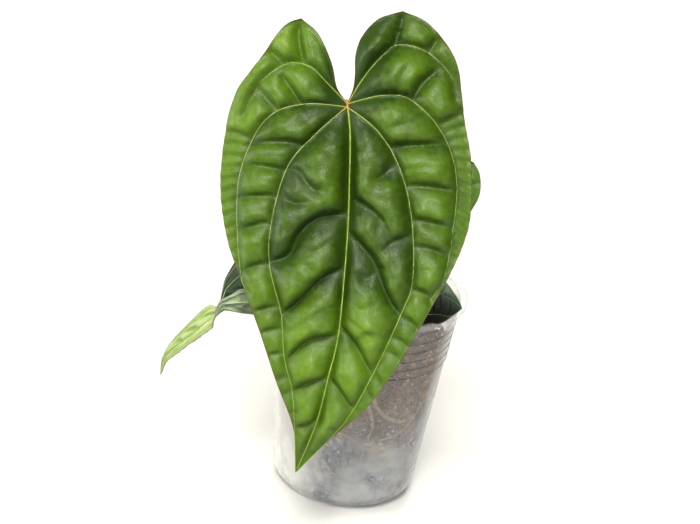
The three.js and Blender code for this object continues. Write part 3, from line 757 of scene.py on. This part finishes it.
class PotSettings(bpy.types.PropertyGroup):
    """Sizes and colour of the growing pot."""

    height: bpy.props.FloatProperty(
        name="Height", description="Height of the pot", default=POT_TOP, unit="LENGTH")
    lip_radius: bpy.props.FloatProperty(
        name="Lip radius", description="Outside radius of the lip", default=LIP_RADIUS, unit="LENGTH")
    base_radius: bpy.props.FloatProperty(
        name="Base radius", description="Wall radius carried down to the underside", default=0.04,
        unit="LENGTH")
    slope: bpy.props.FloatProperty(
        name="Slope", description="Growth of the radius with height", default=0.094)
    wall: bpy.props.FloatProperty(
        name="Wall", description="Thickness of the plastic", default=0.001, unit="LENGTH")
    ring_count: bpy.props.IntProperty(name="Rings", description="Rings under the lip", default=5)
    ring_pitch: bpy.props.FloatProperty(
        name="Ring pitch", description="Height from ring to ring", default=0.0052, unit="LENGTH")
    colour: bpy.props.FloatVectorProperty(
        name="Colour", description="Tint of the plastic", default=linear("F6F6F2")[:3], subtype="COLOR")
    clearness: bpy.props.FloatProperty(
        name="Clearness", description="Light let through where the wall faces the eye", default=0.84,
        subtype="FACTOR", min=0, max=1)


class MixSettings(bpy.types.PropertyGroup):
    """How the growing mix is made up."""

    height: bpy.props.FloatProperty(
        name="Height", description="Height of the mix in the pot", default=0.095, unit="LENGTH")
    coarse_height: bpy.props.FloatProperty(
        name="Coarse layer", description="Height of the grey mineral layer", default=0.046, unit="LENGTH")
    chips: bpy.props.IntProperty(name="Bark chips", description="Number of bark chips", default=1500)
    lumps: bpy.props.IntProperty(name="Mineral lumps", description="Number of pale lumps", default=560)
    fibres: bpy.props.IntProperty(name="Fibres", description="Number of coir fibres", default=420)
    drops: bpy.props.IntProperty(name="Drops", description="Number of water drops", default=520)


class LeafSettings(bpy.types.PropertyGroup):
    """Thickness, relief and veins of the leaves."""

    thickness: bpy.props.FloatProperty(
        name="Blade", description="Thickness of a blade", default=0.0006, unit="LENGTH")
    relief: bpy.props.FloatProperty(
        name="Relief", description="Share of the full quilting", default=1.0, subtype="FACTOR")
    vein: bpy.props.FloatProperty(
        name="Midrib", description="Width of the large leaf's midrib", default=0.00095, unit="LENGTH")


class StageSettings(bpy.types.PropertyGroup):
    """Floor, light and camera."""

    floor_colour: bpy.props.FloatVectorProperty(
        name="Floor", description="Colour of the floor", default=linear("F4F4F2")[:3], subtype="COLOR")
    key: bpy.props.FloatProperty(
        name="Key light", description="Power of the key light", default=19.4, unit="POWER")
    fill: bpy.props.FloatProperty(
        name="Fill", description="Strength of the light from all round", default=0.15)
    lens: bpy.props.FloatProperty(
        name="Lens", description="Focal length of the camera", default=77.14, subtype="DISTANCE_CAMERA")


# The pot. The corner and the rings are in millimetres, the lip and the drain holes in metres

CORNER = 10
RING_RISE = 0.55
RING_HALF = 0.45
RIB_RISE = 0.2
LIP_HEIGHT = 0.0036
DRAIN_HOLES = 6
DRAIN_CIRCLE = 0.022
DRAIN_RADIUS = 0.0035


def wall_radius(pot, height):
    """Outside radius of the wall at a height, both in millimetres."""
    return pot.base_radius / MM + pot.slope * height


def corner_centre(pot):
    """Distance of the rounded corner's centre from the axis, in millimetres."""
    return wall_radius(pot, CORNER) - CORNER


def corner(centre_radius, centre_height, radius, steps):
    """A quarter circle from straight down to straight out."""
    turns = np.linspace(0, math.pi / 2, steps + 1)
    return [(centre_radius + radius * math.sin(t), centre_height - radius * math.cos(t)) for t in turns]


def round_axis(radius, turn, z):
    """A point at this distance from the pot's axis, turned round it."""
    return radius * math.cos(turn), radius * math.sin(turn), z


def pot_profile(pot):
    """The wall's section, from the underside, up the outside, over the lip and down the inside."""
    top = pot.height / MM
    lip = pot.lip_radius / MM
    wall = pot.wall / MM
    pitch = pot.ring_pitch / MM
    outside = corner(corner_centre(pot), CORNER, CORNER, 10)
    outside += [(wall_radius(pot, z), z) for z in (30, 55, 80)]
    for i in range(pot.ring_count):
        height = top - 13.5 - (pot.ring_count - 1 - i) * pitch
        for share in np.linspace(-1, 1, 7):
            z = height + share * RING_HALF
            outside.append((wall_radius(pot, z) + RING_RISE * math.cos(share * math.pi / 2), z))
    outside += [(wall_radius(pot, top - drop), top - drop) for drop in (3, 1.6)]
    # The rolled lip, as distances inward and down from its widest, highest point
    outside += [(lip - inward, top - drop) for inward, drop in (
        (3, 1.05), (1.3, 1.15), (0.95, 1.6), (0.9, 3.1), (0.7, 3.4), (0.25, 3.35), (0.02, 3.0), (0, 1.2),
        (0.15, 0.5), (0.6, 0.1), (1.2, 0))]
    inner = wall_radius(pot, top) - wall
    inside = [(inner + 1.2, top), (inner + 0.45, top - 0.15), (inner + 0.05, top - 0.6)]
    inside += [(wall_radius(pot, z) - wall, z) for z in (116, 100, 80, 55, 30)]
    inside += corner(corner_centre(pot), CORNER, CORNER - wall, 8)[::-1]
    return outside + inside


class ANTHURIUM_OT_pot(bpy.types.Operator):
    """Build the clear pot with its rings, rolled lip and drain holes"""

    bl_idname = "anthurium.pot"
    bl_label = "Pot"

    def execute(self, context):
        pot = context.scene.anthurium_pot
        piece = turned_piece("pot_shell", pot_profile(pot), 144)
        for i in range(DRAIN_HOLES):
            turn = (i + 0.5) / DRAIN_HOLES * 2 * math.pi
            bpy.ops.mesh.primitive_cylinder_add(
                vertices=32, radius=DRAIN_RADIUS, depth=0.006, location=round_axis(DRAIN_CIRCLE, turn, 0.0))
            drill = context.object
            only(piece)
            cut = piece.modifiers.new("drain hole", "BOOLEAN")
            cut.operation = "DIFFERENCE"
            cut.solver = "EXACT"
            cut.object = drill
            bpy.ops.object.modifier_apply(modifier=cut.name)
            bpy.data.objects.remove(drill)
        smooth(piece, 40)
        colour = (*pot.colour, 1.0)
        plastics = [
            moulded_plastic("moulded polypropylene, clear", colour, pot.clearness),
            moulded_plastic("moulded polypropylene, thick", colour, 0.78),
            # The rings' plastic is tinted dark brown-grey: painted shade for the dark line each ring shows
            moulded_plastic("moulded polypropylene, ribs", linear("5E584E"), 0.45),
        ]
        settle(piece, plastics, ["pot"])
        for face in piece.data.polygons:
            x, y, z = face.center
            if z > pot.height - LIP_HEIGHT:
                face.material_index = 1
            elif math.hypot(x, y) / MM - wall_radius(pot, z / MM) > RIB_RISE:
                face.material_index = 2
        return {"FINISHED"}


# The growing mix. Gaps, the lowest place, the corner and the roots' step are in millimetres

GAP = 0.15
LOWEST = 1.4
CORE_GAP = 4.2
INNER_CORNER = 8.8
ROOTS = 36
THICK_ROOTS = 16
ROOT_STEP = 2.4


def against_wall(pot, points):
    """Push points that would stand in the wall back inside it."""
    height = np.maximum(points[:, 2], LOWEST)
    limit = wall_radius(pot, height) - pot.wall / MM - GAP
    low = np.clip(CORNER - height, 0, INNER_CORNER)
    rounded = np.minimum(limit, corner_centre(pot) + np.sqrt(INNER_CORNER**2 - low**2))
    limit = np.where(height < CORNER, rounded, limit)
    factor = np.minimum(1, limit / np.maximum(np.hypot(points[:, 0], points[:, 1]), 1e-6))
    return np.column_stack([points[:, 0] * factor, points[:, 1] * factor, height])


def scatter(name, shapes, places, degrees, pot=None):
    """Join turned and scaled copies of modelled shapes, held inside the pot if one is given."""
    points = []
    faces = []
    total = 0
    for kind, spot, turn, size in places:
        body, sides = shapes[kind]
        points.append((body * np.asarray(size)) @ turn.T + np.asarray(spot))
        faces += [[i + total for i in side] for side in sides]
        total += len(body)
    points = np.vstack(points)
    if pot is not None:
        points = against_wall(pot, points)
    piece = mesh_piece(name, points * MM, faces)
    smooth(piece, degrees)
    return piece


def broken_shapes(kind, seeds):
    """Model a few broken shapes, one for each seed, as points and faces."""
    shapes = []
    for seed in seeds:
        only()
        if kind == "chip":
            bpy.ops.mesh.primitive_cube_add(size=1.0)
        else:
            bpy.ops.mesh.primitive_ico_sphere_add(subdivisions=2, radius=0.5)
        piece = bpy.context.object
        bpy.ops.object.mode_set(mode="EDIT")
        bpy.ops.mesh.select_all(action="SELECT")
        if kind == "chip":
            bpy.ops.mesh.subdivide(number_cuts=1)
        spread = 0.17 if kind == "chip" else 0.07
        bpy.ops.transform.vertex_random(offset=spread, uniform=0.8, normal=0.4, seed=seed)
        bpy.ops.object.mode_set(mode="OBJECT")
        shapes.append(taken(piece))
    return shapes


class ANTHURIUM_OT_mix(bpy.types.Operator):
    """Fill the pot with bark, fibre and pale mineral lumps"""

    bl_idname = "anthurium.mix"
    bl_label = "Growing mix"

    def execute(self, context):
        pot = context.scene.anthurium_pot
        mix = context.scene.anthurium_mix
        top = mix.height / MM
        coarse = mix.coarse_height / MM
        random = np.random.default_rng(11)
        # The core, with a crumbled face
        profile = corner(corner_centre(pot), CORNER, CORNER - CORE_GAP, 6)
        profile += [(wall_radius(pot, z) - CORE_GAP, z) for z in np.arange(12, top - 3, 2.5)]
        profile += [(r, top - 2.5) for r in np.arange(42, 1, -3.0)]
        core = turned_piece("mix_core", profile, 96)
        rough = bpy.data.textures.new("crumbs", "CLOUDS")
        rough.noise_scale = 0.006
        swell = core.modifiers.new("crumbs", "DISPLACE")
        swell.texture = rough
        swell.texture_coords = "GLOBAL"
        swell.strength = 0.004
        swell.mid_level = 0.4
        bpy.ops.object.modifier_apply(modifier=swell.name)
        smooth(core, 50)
        peat = crumb(
            "coir and fine bark, moist", [(0.3, "4A3420"), (0.5, "7E5E3C"), (0.7, "A48258")], 0.004, 0.9,
            0.0006, mix.coarse_height)
        settle(core, [peat], ["soil"])
        # Bark, one chip in five on top
        chips = broken_shapes("chip", (1, 2, 3, 4))
        places = []
        for i in range(mix.chips):
            turn = random.uniform(0, 2 * math.pi)
            on_top = i % 5 == 0
            if on_top:
                z = random.uniform(top - 4, top + 0.5)
            else:
                z = random.uniform(0, 1) ** 0.75 * (top - 4) + 3
            reach = wall_radius(pot, z) - 3.2
            if on_top:
                radius = math.sqrt(random.uniform(0.03, 1)) * reach
            else:
                radius = reach - random.uniform(0, 2.5)
            size = random.uniform(0.55, 1.3)
            spot = round_axis(radius, turn, z)
            lean = random_turn(random)
            sides = [size * random.uniform(*side) for side in ((3.5, 8), (2.5, 5), (1, 2.6))]
            places.append((i % 4, spot, lean, sides))
        bark = scatter("mix_bark", chips, places, 25, pot)
        settle(bark, [crumb(
            "pine bark, composted", [(0.32, "3C2A1A"), (0.47, "7E5834"), (0.6, "AE8654"), (0.72, "CCB084")],
            0.007, 0.8, 0.0005, mix.coarse_height)])
        # Mineral lumps, one in six above the coarse layer
        lumps = broken_shapes("lump", (5, 6, 7))
        places = []
        for i in range(mix.lumps):
            turn = random.uniform(0, 2 * math.pi)
            low = i % 6 != 0
            z = random.uniform(2, coarse) if low else random.uniform(40, top + 1)
            size = random.uniform(2.5, 6.5) if low else random.uniform(1.5, 4)
            spot = round_axis(wall_radius(pot, z) - 1.0 - size * 0.42 - random.uniform(0, 2), turn, z)
            places.append((
                i % 3, spot, random_turn(random),
                (size, size * random.uniform(0.7, 1), size * random.uniform(0.6, 1))))
        stones = scatter("mix_stones", lumps, places, 50, pot)
        settle(stones, [crumb(
            "pumice and perlite, expanded", [(0.36, "4E5468"), (0.5, "9096AA"), (0.62, "E4E2DC")],
            0.008, 0.95, 0.0005)])
        # Fibres that run round just inside the wall
        threads = []
        t = np.linspace(0, 1, 8)
        for i in range(mix.fibres):
            turn = random.uniform(0, 2 * math.pi)
            z = random.uniform(coarse - 6, top + 1)
            length = random.uniform(6, 20)
            lean = random.uniform(-1.2, 1.2)
            angle = turn + t * length * math.cos(lean) / 46 + 0.02 * np.sin(6 * t + i)
            height = np.clip(z + t * length * math.sin(lean) + 0.8 * np.sin(4 * t + 2 * i), 3, top + 2)
            radius = wall_radius(pot, height) - 1.35 - 0.5 * np.sin(5 * t + i) ** 2
            line = np.column_stack([radius * np.cos(angle), radius * np.sin(angle), height])
            threads.append((line, np.full(8, random.uniform(0.09, 0.2))))
        fibre = tubes("mix_fibres", threads, 4)
        settle(fibre, [tissue("coir fibre, dry", ("8A6A42", "C9AE82"), 0.003, 0.8)])
        return {"FINISHED"}


class ANTHURIUM_OT_roots(bpy.types.Operator):
    """Lay pale roots against the wall"""

    bl_idname = "anthurium.roots"
    bl_label = "Roots"

    def execute(self, context):
        pot = context.scene.anthurium_pot
        random = np.random.default_rng(21)
        runs = []
        for i in range(ROOTS):
            thick = random.uniform(0.9, 1.5) if i < THICK_ROOTS else random.uniform(0.25, 0.5)
            turn = random.uniform(0, 2 * math.pi)
            z = random.uniform(30, 92) if i < THICK_ROOTS else random.uniform(12, 92)
            lean = random.uniform(-1.5, 0.4)
            points = []
            for _ in range(int(random.uniform(14, 30))):
                radius = wall_radius(pot, z) - pot.wall / MM - thick - GAP
                points.append(round_axis(radius, turn, z))
                lean += random.uniform(-0.28, 0.25)
                turn += ROOT_STEP * math.cos(lean) / radius
                z = min(max(z + ROOT_STEP * math.sin(lean), 8), 93)
            runs.append((np.array(points), thick * np.linspace(1, 0.55, len(points))))
        piece = tubes("roots", runs, 8)
        settle(piece, [tissue("living root, corky", ("A89068", "D8C8A4"), 0.004, 0.6)])
        return {"FINISHED"}


class ANTHURIUM_OT_drops(bpy.types.Operator):
    """Bead condensed water on the inside of the wall"""

    bl_idname = "anthurium.drops"
    bl_label = "Water drops"

    def execute(self, context):
        pot = context.scene.anthurium_pot
        random = np.random.default_rng(31)
        only()
        bpy.ops.mesh.primitive_ico_sphere_add(subdivisions=2, radius=0.5)
        bpy.ops.object.mode_set(mode="EDIT")
        bpy.ops.mesh.select_all(action="SELECT")
        bpy.ops.mesh.bisect(plane_co=(0, 0, -0.05), plane_no=(0, 0, 1), clear_inner=True, use_fill=True)
        bpy.ops.object.mode_set(mode="OBJECT")
        bead = taken(bpy.context.object)
        places = []
        for _ in range(context.scene.anthurium_mix.drops):
            turn = random.uniform(0, 2 * math.pi)
            z = random.uniform(8, 116)
            size = random.uniform(0.5, 1.7) * random.uniform(0.6, 1.2)
            inward = np.array([-math.cos(turn), -math.sin(turn), pot.slope])
            inward /= np.linalg.norm(inward)
            aside = np.array([-math.sin(turn), math.cos(turn), 0])
            basis = np.column_stack([aside, np.cross(inward, aside), inward])
            spot = round_axis(wall_radius(pot, z) - pot.wall / MM, turn, z)
            places.append((0, spot, basis, (size, size * 1.15, size * 0.6)))
        piece = scatter("water_drops", [bead], places, 60)
        settle(piece, [water("condensed water")])
        return {"FINISHED"}


# The plant

# Heights of the rings that fallen leaves left on the stem, in millimetres
LEAF_SCARS = (88, 92.5, 96.5, 100)

# A vein that is wider than this share of the midrib also shows on the upper face
MAIN_SHARE = 0.5
BORDER_RADIUS = 0.52
JUNCTION_REACH = 0.0065
class ANTHURIUM_OT_stem(bpy.types.Operator):
    """Build the short stem with its leaf scars"""

    bl_idname = "anthurium.stem"
    bl_label = "Stem"

    def execute(self, context):
        profile = [(4.2, 76.2), (5.4, 77.5), (6.1, 80), (6.3, 84)]
        for z in LEAF_SCARS:
            profile += [(6.1, z - 1.2), (6.5, z - 0.5), (6.45, z), (5.9, z + 0.4)]
        profile += [(5.8, 102.5), (5.2, 105), (4.4, 107), (2.6, 108.4), (1.0, 108.9)]
        piece = turned_piece("stem_core", profile, 40)
        smooth(piece, 50)
        settle(piece, [tissue("stem, woody", ("5C5A30", "8A8A4C"), 0.003, 0.65)], ["stem"])
        return {"FINISHED"}


class ANTHURIUM_OT_stalks(bpy.types.Operator):
    """Build a stalk with its swollen joint for each leaf"""

    bl_idname = "anthurium.stalks"
    bl_label = "Stalks"

    def execute(self, context):
        skin = tissue("stalk, satin green", ("6E8438", "93A650"), 0.006, 0.42)
        for name, leaf in LEAVES.items():
            radius, joint, route = leaf["stalk"]
            sinus = np.array(leaf["spine"][1][0], float)
            way = np.array(leaf["spine"][1][1], float)
            way /= np.linalg.norm(way)
            end = sinus - way * (0.75 + 1.5 * joint)
            path = even_curve([*route, end, sinus - way * 0.3], 14)
            run = lengths_along(path)
            left = run[-1] - run
            swelling = np.exp(-(((left - 1.5 * joint) / (1.7 * joint)) ** 2))
            foot = np.exp(-run / 6.0)
            radii = radius * (1 + 0.35 * foot) + (joint - radius) * swelling
            radii[left < joint * 0.5] *= 0.88
            piece = tubes(f"stalk_{name}", [(path, radii)], 16)
            settle(piece, [skin], [f"petiole_{name}"])
        return {"FINISHED"}


def blade(name, leaf, wall, quilt):
    """The blade as one closed mesh, and each face's material: the upper side, the underside or the rim."""
    rows, columns = leaf["grid"]
    along, across = np.meshgrid(np.arange(rows + 1) / rows, np.arange(columns + 1) / columns, indexing="ij")
    count = rows + 1
    spots = np.zeros((rows + 1 + 2 * rows * columns, 2))
    signs = np.ones(len(spots))
    grids = []
    for half, sign in HALVES:
        plan = plan_patch(half, along, across)
        index = np.full((rows + 1, columns + 1), rows)
        index[:, 0] = np.arange(rows + 1)
        index[:rows, 1:] = count + np.arange(rows * columns).reshape(rows, columns)
        count += rows * columns
        spots[index[:rows, 1:]] = plan[:rows, 1:]
        spots[index[:, 0]] = plan[:, 0]
        signs[index[:rows, 1:]] = sign
        grids.append((index, sign))
    u, v = spots.T
    relief = read_grid(quilt, u, v)
    middle, out = on_blade(leaf, u, v, signs, relief * leaf["relief"])
    points = np.vstack([middle + out * wall / 2, middle - out * wall / 2])
    faces = []
    for index, sign in grids:
        a, b, c, d = index[:-1, :-1], index[1:, :-1], index[1:, 1:], index[:-1, 1:]
        if sign < 0:
            b, d = d, b
        faces += np.stack([a, b, c, d], -1)[:-1].reshape(-1, 4).tolist()
        last = np.stack([a, b, d] if sign > 0 else [a, b, c], -1)[-1]
        faces += last.tolist()
    faces += [[i + count for i in face[::-1]] for face in faces]
    edges = [[*index[0], *index[1:, columns]] for index, _ in grids]
    rim = edges[0][::-1] + edges[1][1:]
    wall_start = len(faces)
    faces += [[p, q, q + count, p + count] for p, q in zip(rim, rim[1:])]
    piece = mesh_piece(f"leaf_{name}_blade", points * MM, [[int(i) for i in face] for face in faces])
    data = piece.data
    plan_map = data.uv_layers.new(name="plan")
    corners = np.zeros(len(data.loops), int)
    data.loops.foreach_get("vertex_index", corners)
    scale = leaf["length"] / LEAF_LENGTH * MM
    plan_map.data.foreach_set("uv", (spots[corners % count] * scale).ravel())
    # Painted light and shade for the upper face alone; the underside gets none
    tone = painted_light_and_shade(leaf["slot"], u, v)
    for kind, values in (("relief", [relief, relief]), ("tone", [tone, 0 * tone])):
        mark = data.attributes.new(kind, "FLOAT", "POINT")
        mark.data.foreach_set("value", np.concatenate(values))
    slots = np.zeros(len(faces), int)
    slots[wall_start // 2 : wall_start] = 1
    slots[wall_start:] = 2
    smooth(piece, 60)
    return piece, slots


def vein_runs(leaf, width, quilt, face, wall):
    """The veins of one face of a leaf as runs for tubes. The upper face shows the main ones alone."""
    spots = []
    signs = []
    sizes = []
    ends = [0]
    for half, sign in HALVES:
        lines = [line[:2] for line in vein_lines(half) if face < 0 or line[1] > MAIN_SHARE]
        if sign > 0:
            lines = [(resampled(MIDRIB, 1.2)[:-2], 1.0), *lines]
        for line, share in lines:
            points = resampled(line, 0.9)
            taper = np.linspace(1, 0.42 if share > MAIN_SHARE else 0.6, len(points))
            spots.append(points)
            signs.append(np.full(len(points), sign))
            sizes.append(width * share * taper / 2)
            ends.append(ends[-1] + len(points))
    u, v = np.vstack(spots).T
    sizes = np.concatenate(sizes) * (leaf["length"] / LEAF_LENGTH) ** 0.5
    lift = read_grid(quilt, u, v) * leaf["relief"]
    lift += face * (wall / 2 - sizes * (0.15 if face > 0 else -0.1))
    points, _ = on_blade(leaf, u, v, np.concatenate(signs), lift)
    return [(points[a:b], sizes[a:b]) for a, b in zip(ends, ends[1:])]


def margin_run(leaf, quilt):
    """The thickened rim of a leaf, once round from the sinus."""
    places = []
    for half, sign in HALVES:
        line = np.vstack([resampled(half["sinus"], 0.8), resampled(half["margin"], 0.8)[1:]])
        u, v = line.T
        lift = read_grid(quilt, u, v) * leaf["relief"]
        points, _ = on_blade(leaf, u, v, np.full(len(u), sign), lift)
        places.append(points)
    return np.vstack([places[0], places[1][::-1][1:]])


# Colours of each leaf's faces, veins and edge, and how rough and how shiny its upper face is. The upper
# ramps run from painted shade to painted light, read through the tone attribute
LEAF_LOOKS = {
    "front": {
        "upper": ("264000", "587A12", "90AA3E"), "under": ("5E7A3C", "86A05C", "9CB474"),
        "vein": ("8CA83A", "A8C04C"), "edge": ("4A2E20", "6E4E34"), "roughness": 0.43, "shine": 0.42,
    },
    "back": {
        "upper": ("446A16", "688C2C", "8AA648"), "under": ("5E7A3C", "86A05C", "9CB474"),
        "vein": ("86A64C", "A9C070"), "edge": ("4E4048", "6E5C5C"), "roughness": 0.46, "shine": 0.4,
    },
    "left": {
        "upper": ("14300E", "8CA45C", "D2D8AC"), "under": ("A2BA92", "B4C8A8", "C8D6BA"),
        "vein": ("B9C98C", "D5E0B0"), "edge": ("7A7070", "9E968E"), "roughness": 0.42, "shine": 0.28,
    },
    "right": {
        "upper": ("0E1A08", "3A5A34", "6E9850"), "under": ("3E5A38", "5A7650", "6E8860"),
        "vein": ("7E9468", "A8B88C"), "edge": ("3A3430", "5E5A50"), "roughness": 0.46, "shine": 0.25,
    },
}


class ANTHURIUM_OT_leaves(bpy.types.Operator):
    """Build the quilted leaves with their veins and rims"""

    bl_idname = "anthurium.leaves"
    bl_label = "Leaves"

    def execute(self, context):
        settings = context.scene.anthurium_leaf
        quilt = quilting() * settings.relief
        wall = settings.thickness / MM
        width = settings.vein / MM
        for name, leaf in LEAVES.items():
            look = LEAF_LOOKS[name]
            node = f"leaf_{name}"
            piece, faces = blade(name, leaf, wall, quilt)
            skins = [
                leaf_skin(f"leaf skin, waxy, {name}", look["upper"], look["roughness"], look["shine"]),
                leaf_skin(f"leaf underside, matt, {name}", look["under"], 0.58, 0.3),
                tissue(f"leaf rim, {name}", look["edge"], 0.004, 0.5),
            ]
            settle(piece, skins, [node])
            piece.data.polygons.foreach_set("material_index", faces)
            junction = Vector(leaf["spine"][1][0]) * MM
            reach = JUNCTION_REACH * leaf["length"] / LEAF_LENGTH
            veins = tissue(f"leaf vein, {name}", look["vein"], 0.005, 0.38, junction, reach)
            # Fine veins above, and thicker ridges below
            for part, face, share in (("veins", 1, 1.0), ("ridges", -1, 1.5)):
                runs = vein_runs(leaf, width * share, quilt, face, wall)
                settle(tubes(f"{node}_{part}", runs), [veins], [node])
            path = margin_run(leaf, quilt)
            edge = tissue(f"leaf margin, {name}", look["edge"], 0.004, 0.45)
            border = tubes(f"{node}_border", [(path, np.full(len(path), wall * BORDER_RADIUS))])
            settle(border, [edge], [node])
        return {"FINISHED"}


# The stage

LAMP_COLOUR = (1.0, 0.97, 0.88)

# Each square light's place, goal and size in metres, and its power beside the key light's
AREA_LIGHTS = [
    ("key", (-0.15, -0.75, 1.15), (0, 0, 0.13), 0.45, 1.0),
    ("side", (-1.2, -0.3, 0.35), (0, 0, 0.08), 0.6, 0.6),
    ("rear", (0.2, 2.2, 1.4), (0, 1.2, 0), 1.5, 3.0),
]


def add_lamp(name, kind, place, goal, power):
    """Add a lamp that points from its place to its goal."""
    lamp = bpy.data.lights.new(name, kind)
    lamp.energy = power
    holder = bpy.data.objects.new(name, lamp)
    bpy.context.scene.collection.objects.link(holder)
    holder.location = place
    holder.rotation_euler = (Vector(goal) - Vector(place)).to_track_quat("-Z", "Y").to_euler()
    return lamp
class ANTHURIUM_OT_stage(bpy.types.Operator):
    """Set the floor, the lights and the camera"""

    bl_idname = "anthurium.stage"
    bl_label = "Stage"

    def execute(self, context):
        stage = context.scene.anthurium_stage
        only()
        bpy.ops.mesh.primitive_plane_add(size=8.0, location=(0, 0, -0.0002))
        floor = context.object
        floor.name = "floor"
        material, tree = start_material("painted board, matt")
        where = add_node(tree, "ShaderNodeTexCoord").outputs["Object"]
        grain = add_node(tree, "ShaderNodeTexNoise", {"Scale": 400.0, "Detail": 2.0, "Vector": where})
        bump = add_node(tree, "ShaderNodeBump", {"Strength": 0.04, "Distance": 0.0003, "Height": grain})
        finish_material(tree, {"Base Color": (*stage.floor_colour, 1.0), "Roughness": 0.85, "Normal": bump})
        floor.data.materials.append(material)
        # The floor throws no light up at the plant, so that the quilting keeps its shade
        floor.visible_diffuse = False
        for name, place, goal, size, share in AREA_LIGHTS:
            lamp = add_lamp(name, "AREA", place, goal, stage.key * share)
            lamp.size = size
            lamp.color = LAMP_COLOUR
        # A soft spot aimed at the pot
        lamp = add_lamp("low spot", "SPOT", (0.45, -0.85, 0.3), (0.03, 0, 0.05), stage.key * 2.4)
        lamp.spot_size = math.radians(13)
        lamp.spot_blend = 0.8
        lamp.shadow_soft_size = 0.15
        world = bpy.data.worlds.new("soft room")
        world.use_nodes = True
        world.node_tree.nodes["Background"].inputs["Color"].default_value = (1, 1, 1, 1)
        world.node_tree.nodes["Background"].inputs["Strength"].default_value = stage.fill
        context.scene.world = world
        context.scene.view_settings.view_transform = "Standard"
        camera = bpy.data.objects.new("camera", bpy.data.cameras.new("camera"))
        context.scene.collection.objects.link(camera)
        camera.data.lens = stage.lens
        right = Vector((0.9907, 0.1357 * 0.3907, 0.1357 * 0.9205))
        up = Vector((-0.1357, 0.9907 * 0.3907, 0.9907 * 0.9205))
        back = Vector((0, -0.9205, 0.3907))
        turned = Matrix((right, up, back)).transposed()
        camera.matrix_world = Matrix.Translation((-0.01194, -0.7554, 0.4539)) @ turned.to_4x4()
        context.scene.camera = camera
        return {"FINISHED"}


class ANTHURIUM_PT_panel(bpy.types.Panel):
    """Settings and steps of the potted anthurium"""

    bl_label = "Anthurium"
    bl_space_type = "VIEW_3D"
    bl_region_type = "UI"
    bl_category = "Anthurium"

    def draw(self, context):
        for name in ("pot", "mix", "leaf", "stage"):
            box = self.layout.box()
            settings = getattr(context.scene, f"anthurium_{name}")
            for prop in settings.__annotations__:
                box.prop(settings, prop)
        for step in STEPS:
            self.layout.operator(f"anthurium.{step}")


SETTINGS = {"pot": PotSettings, "mix": MixSettings, "leaf": LeafSettings, "stage": StageSettings}
STEPS = ["pot", "mix", "roots", "drops", "stem", "stalks", "leaves", "stage"]
CLASSES = [
    *SETTINGS.values(), ANTHURIUM_OT_pot, ANTHURIUM_OT_mix, ANTHURIUM_OT_roots, ANTHURIUM_OT_drops,
    ANTHURIUM_OT_stem, ANTHURIUM_OT_stalks, ANTHURIUM_OT_leaves, ANTHURIUM_OT_stage, ANTHURIUM_PT_panel,
]


def register():
    """Register the classes and hang the settings on the scene."""
    for kind in CLASSES:
        bpy.utils.register_class(kind)
    for name, kind in SETTINGS.items():
        setattr(bpy.types.Scene, f"anthurium_{name}", bpy.props.PointerProperty(type=kind))


def unregister():
    """Take the settings and the classes away."""
    for name in SETTINGS:
        delattr(bpy.types.Scene, f"anthurium_{name}")
    for kind in reversed(CLASSES):
        bpy.utils.unregister_class(kind)


def main():
    """Build every piece."""
    register()
    for step in STEPS:
        getattr(bpy.ops.anthurium, step)()


if __name__ == "__main__":
    main()
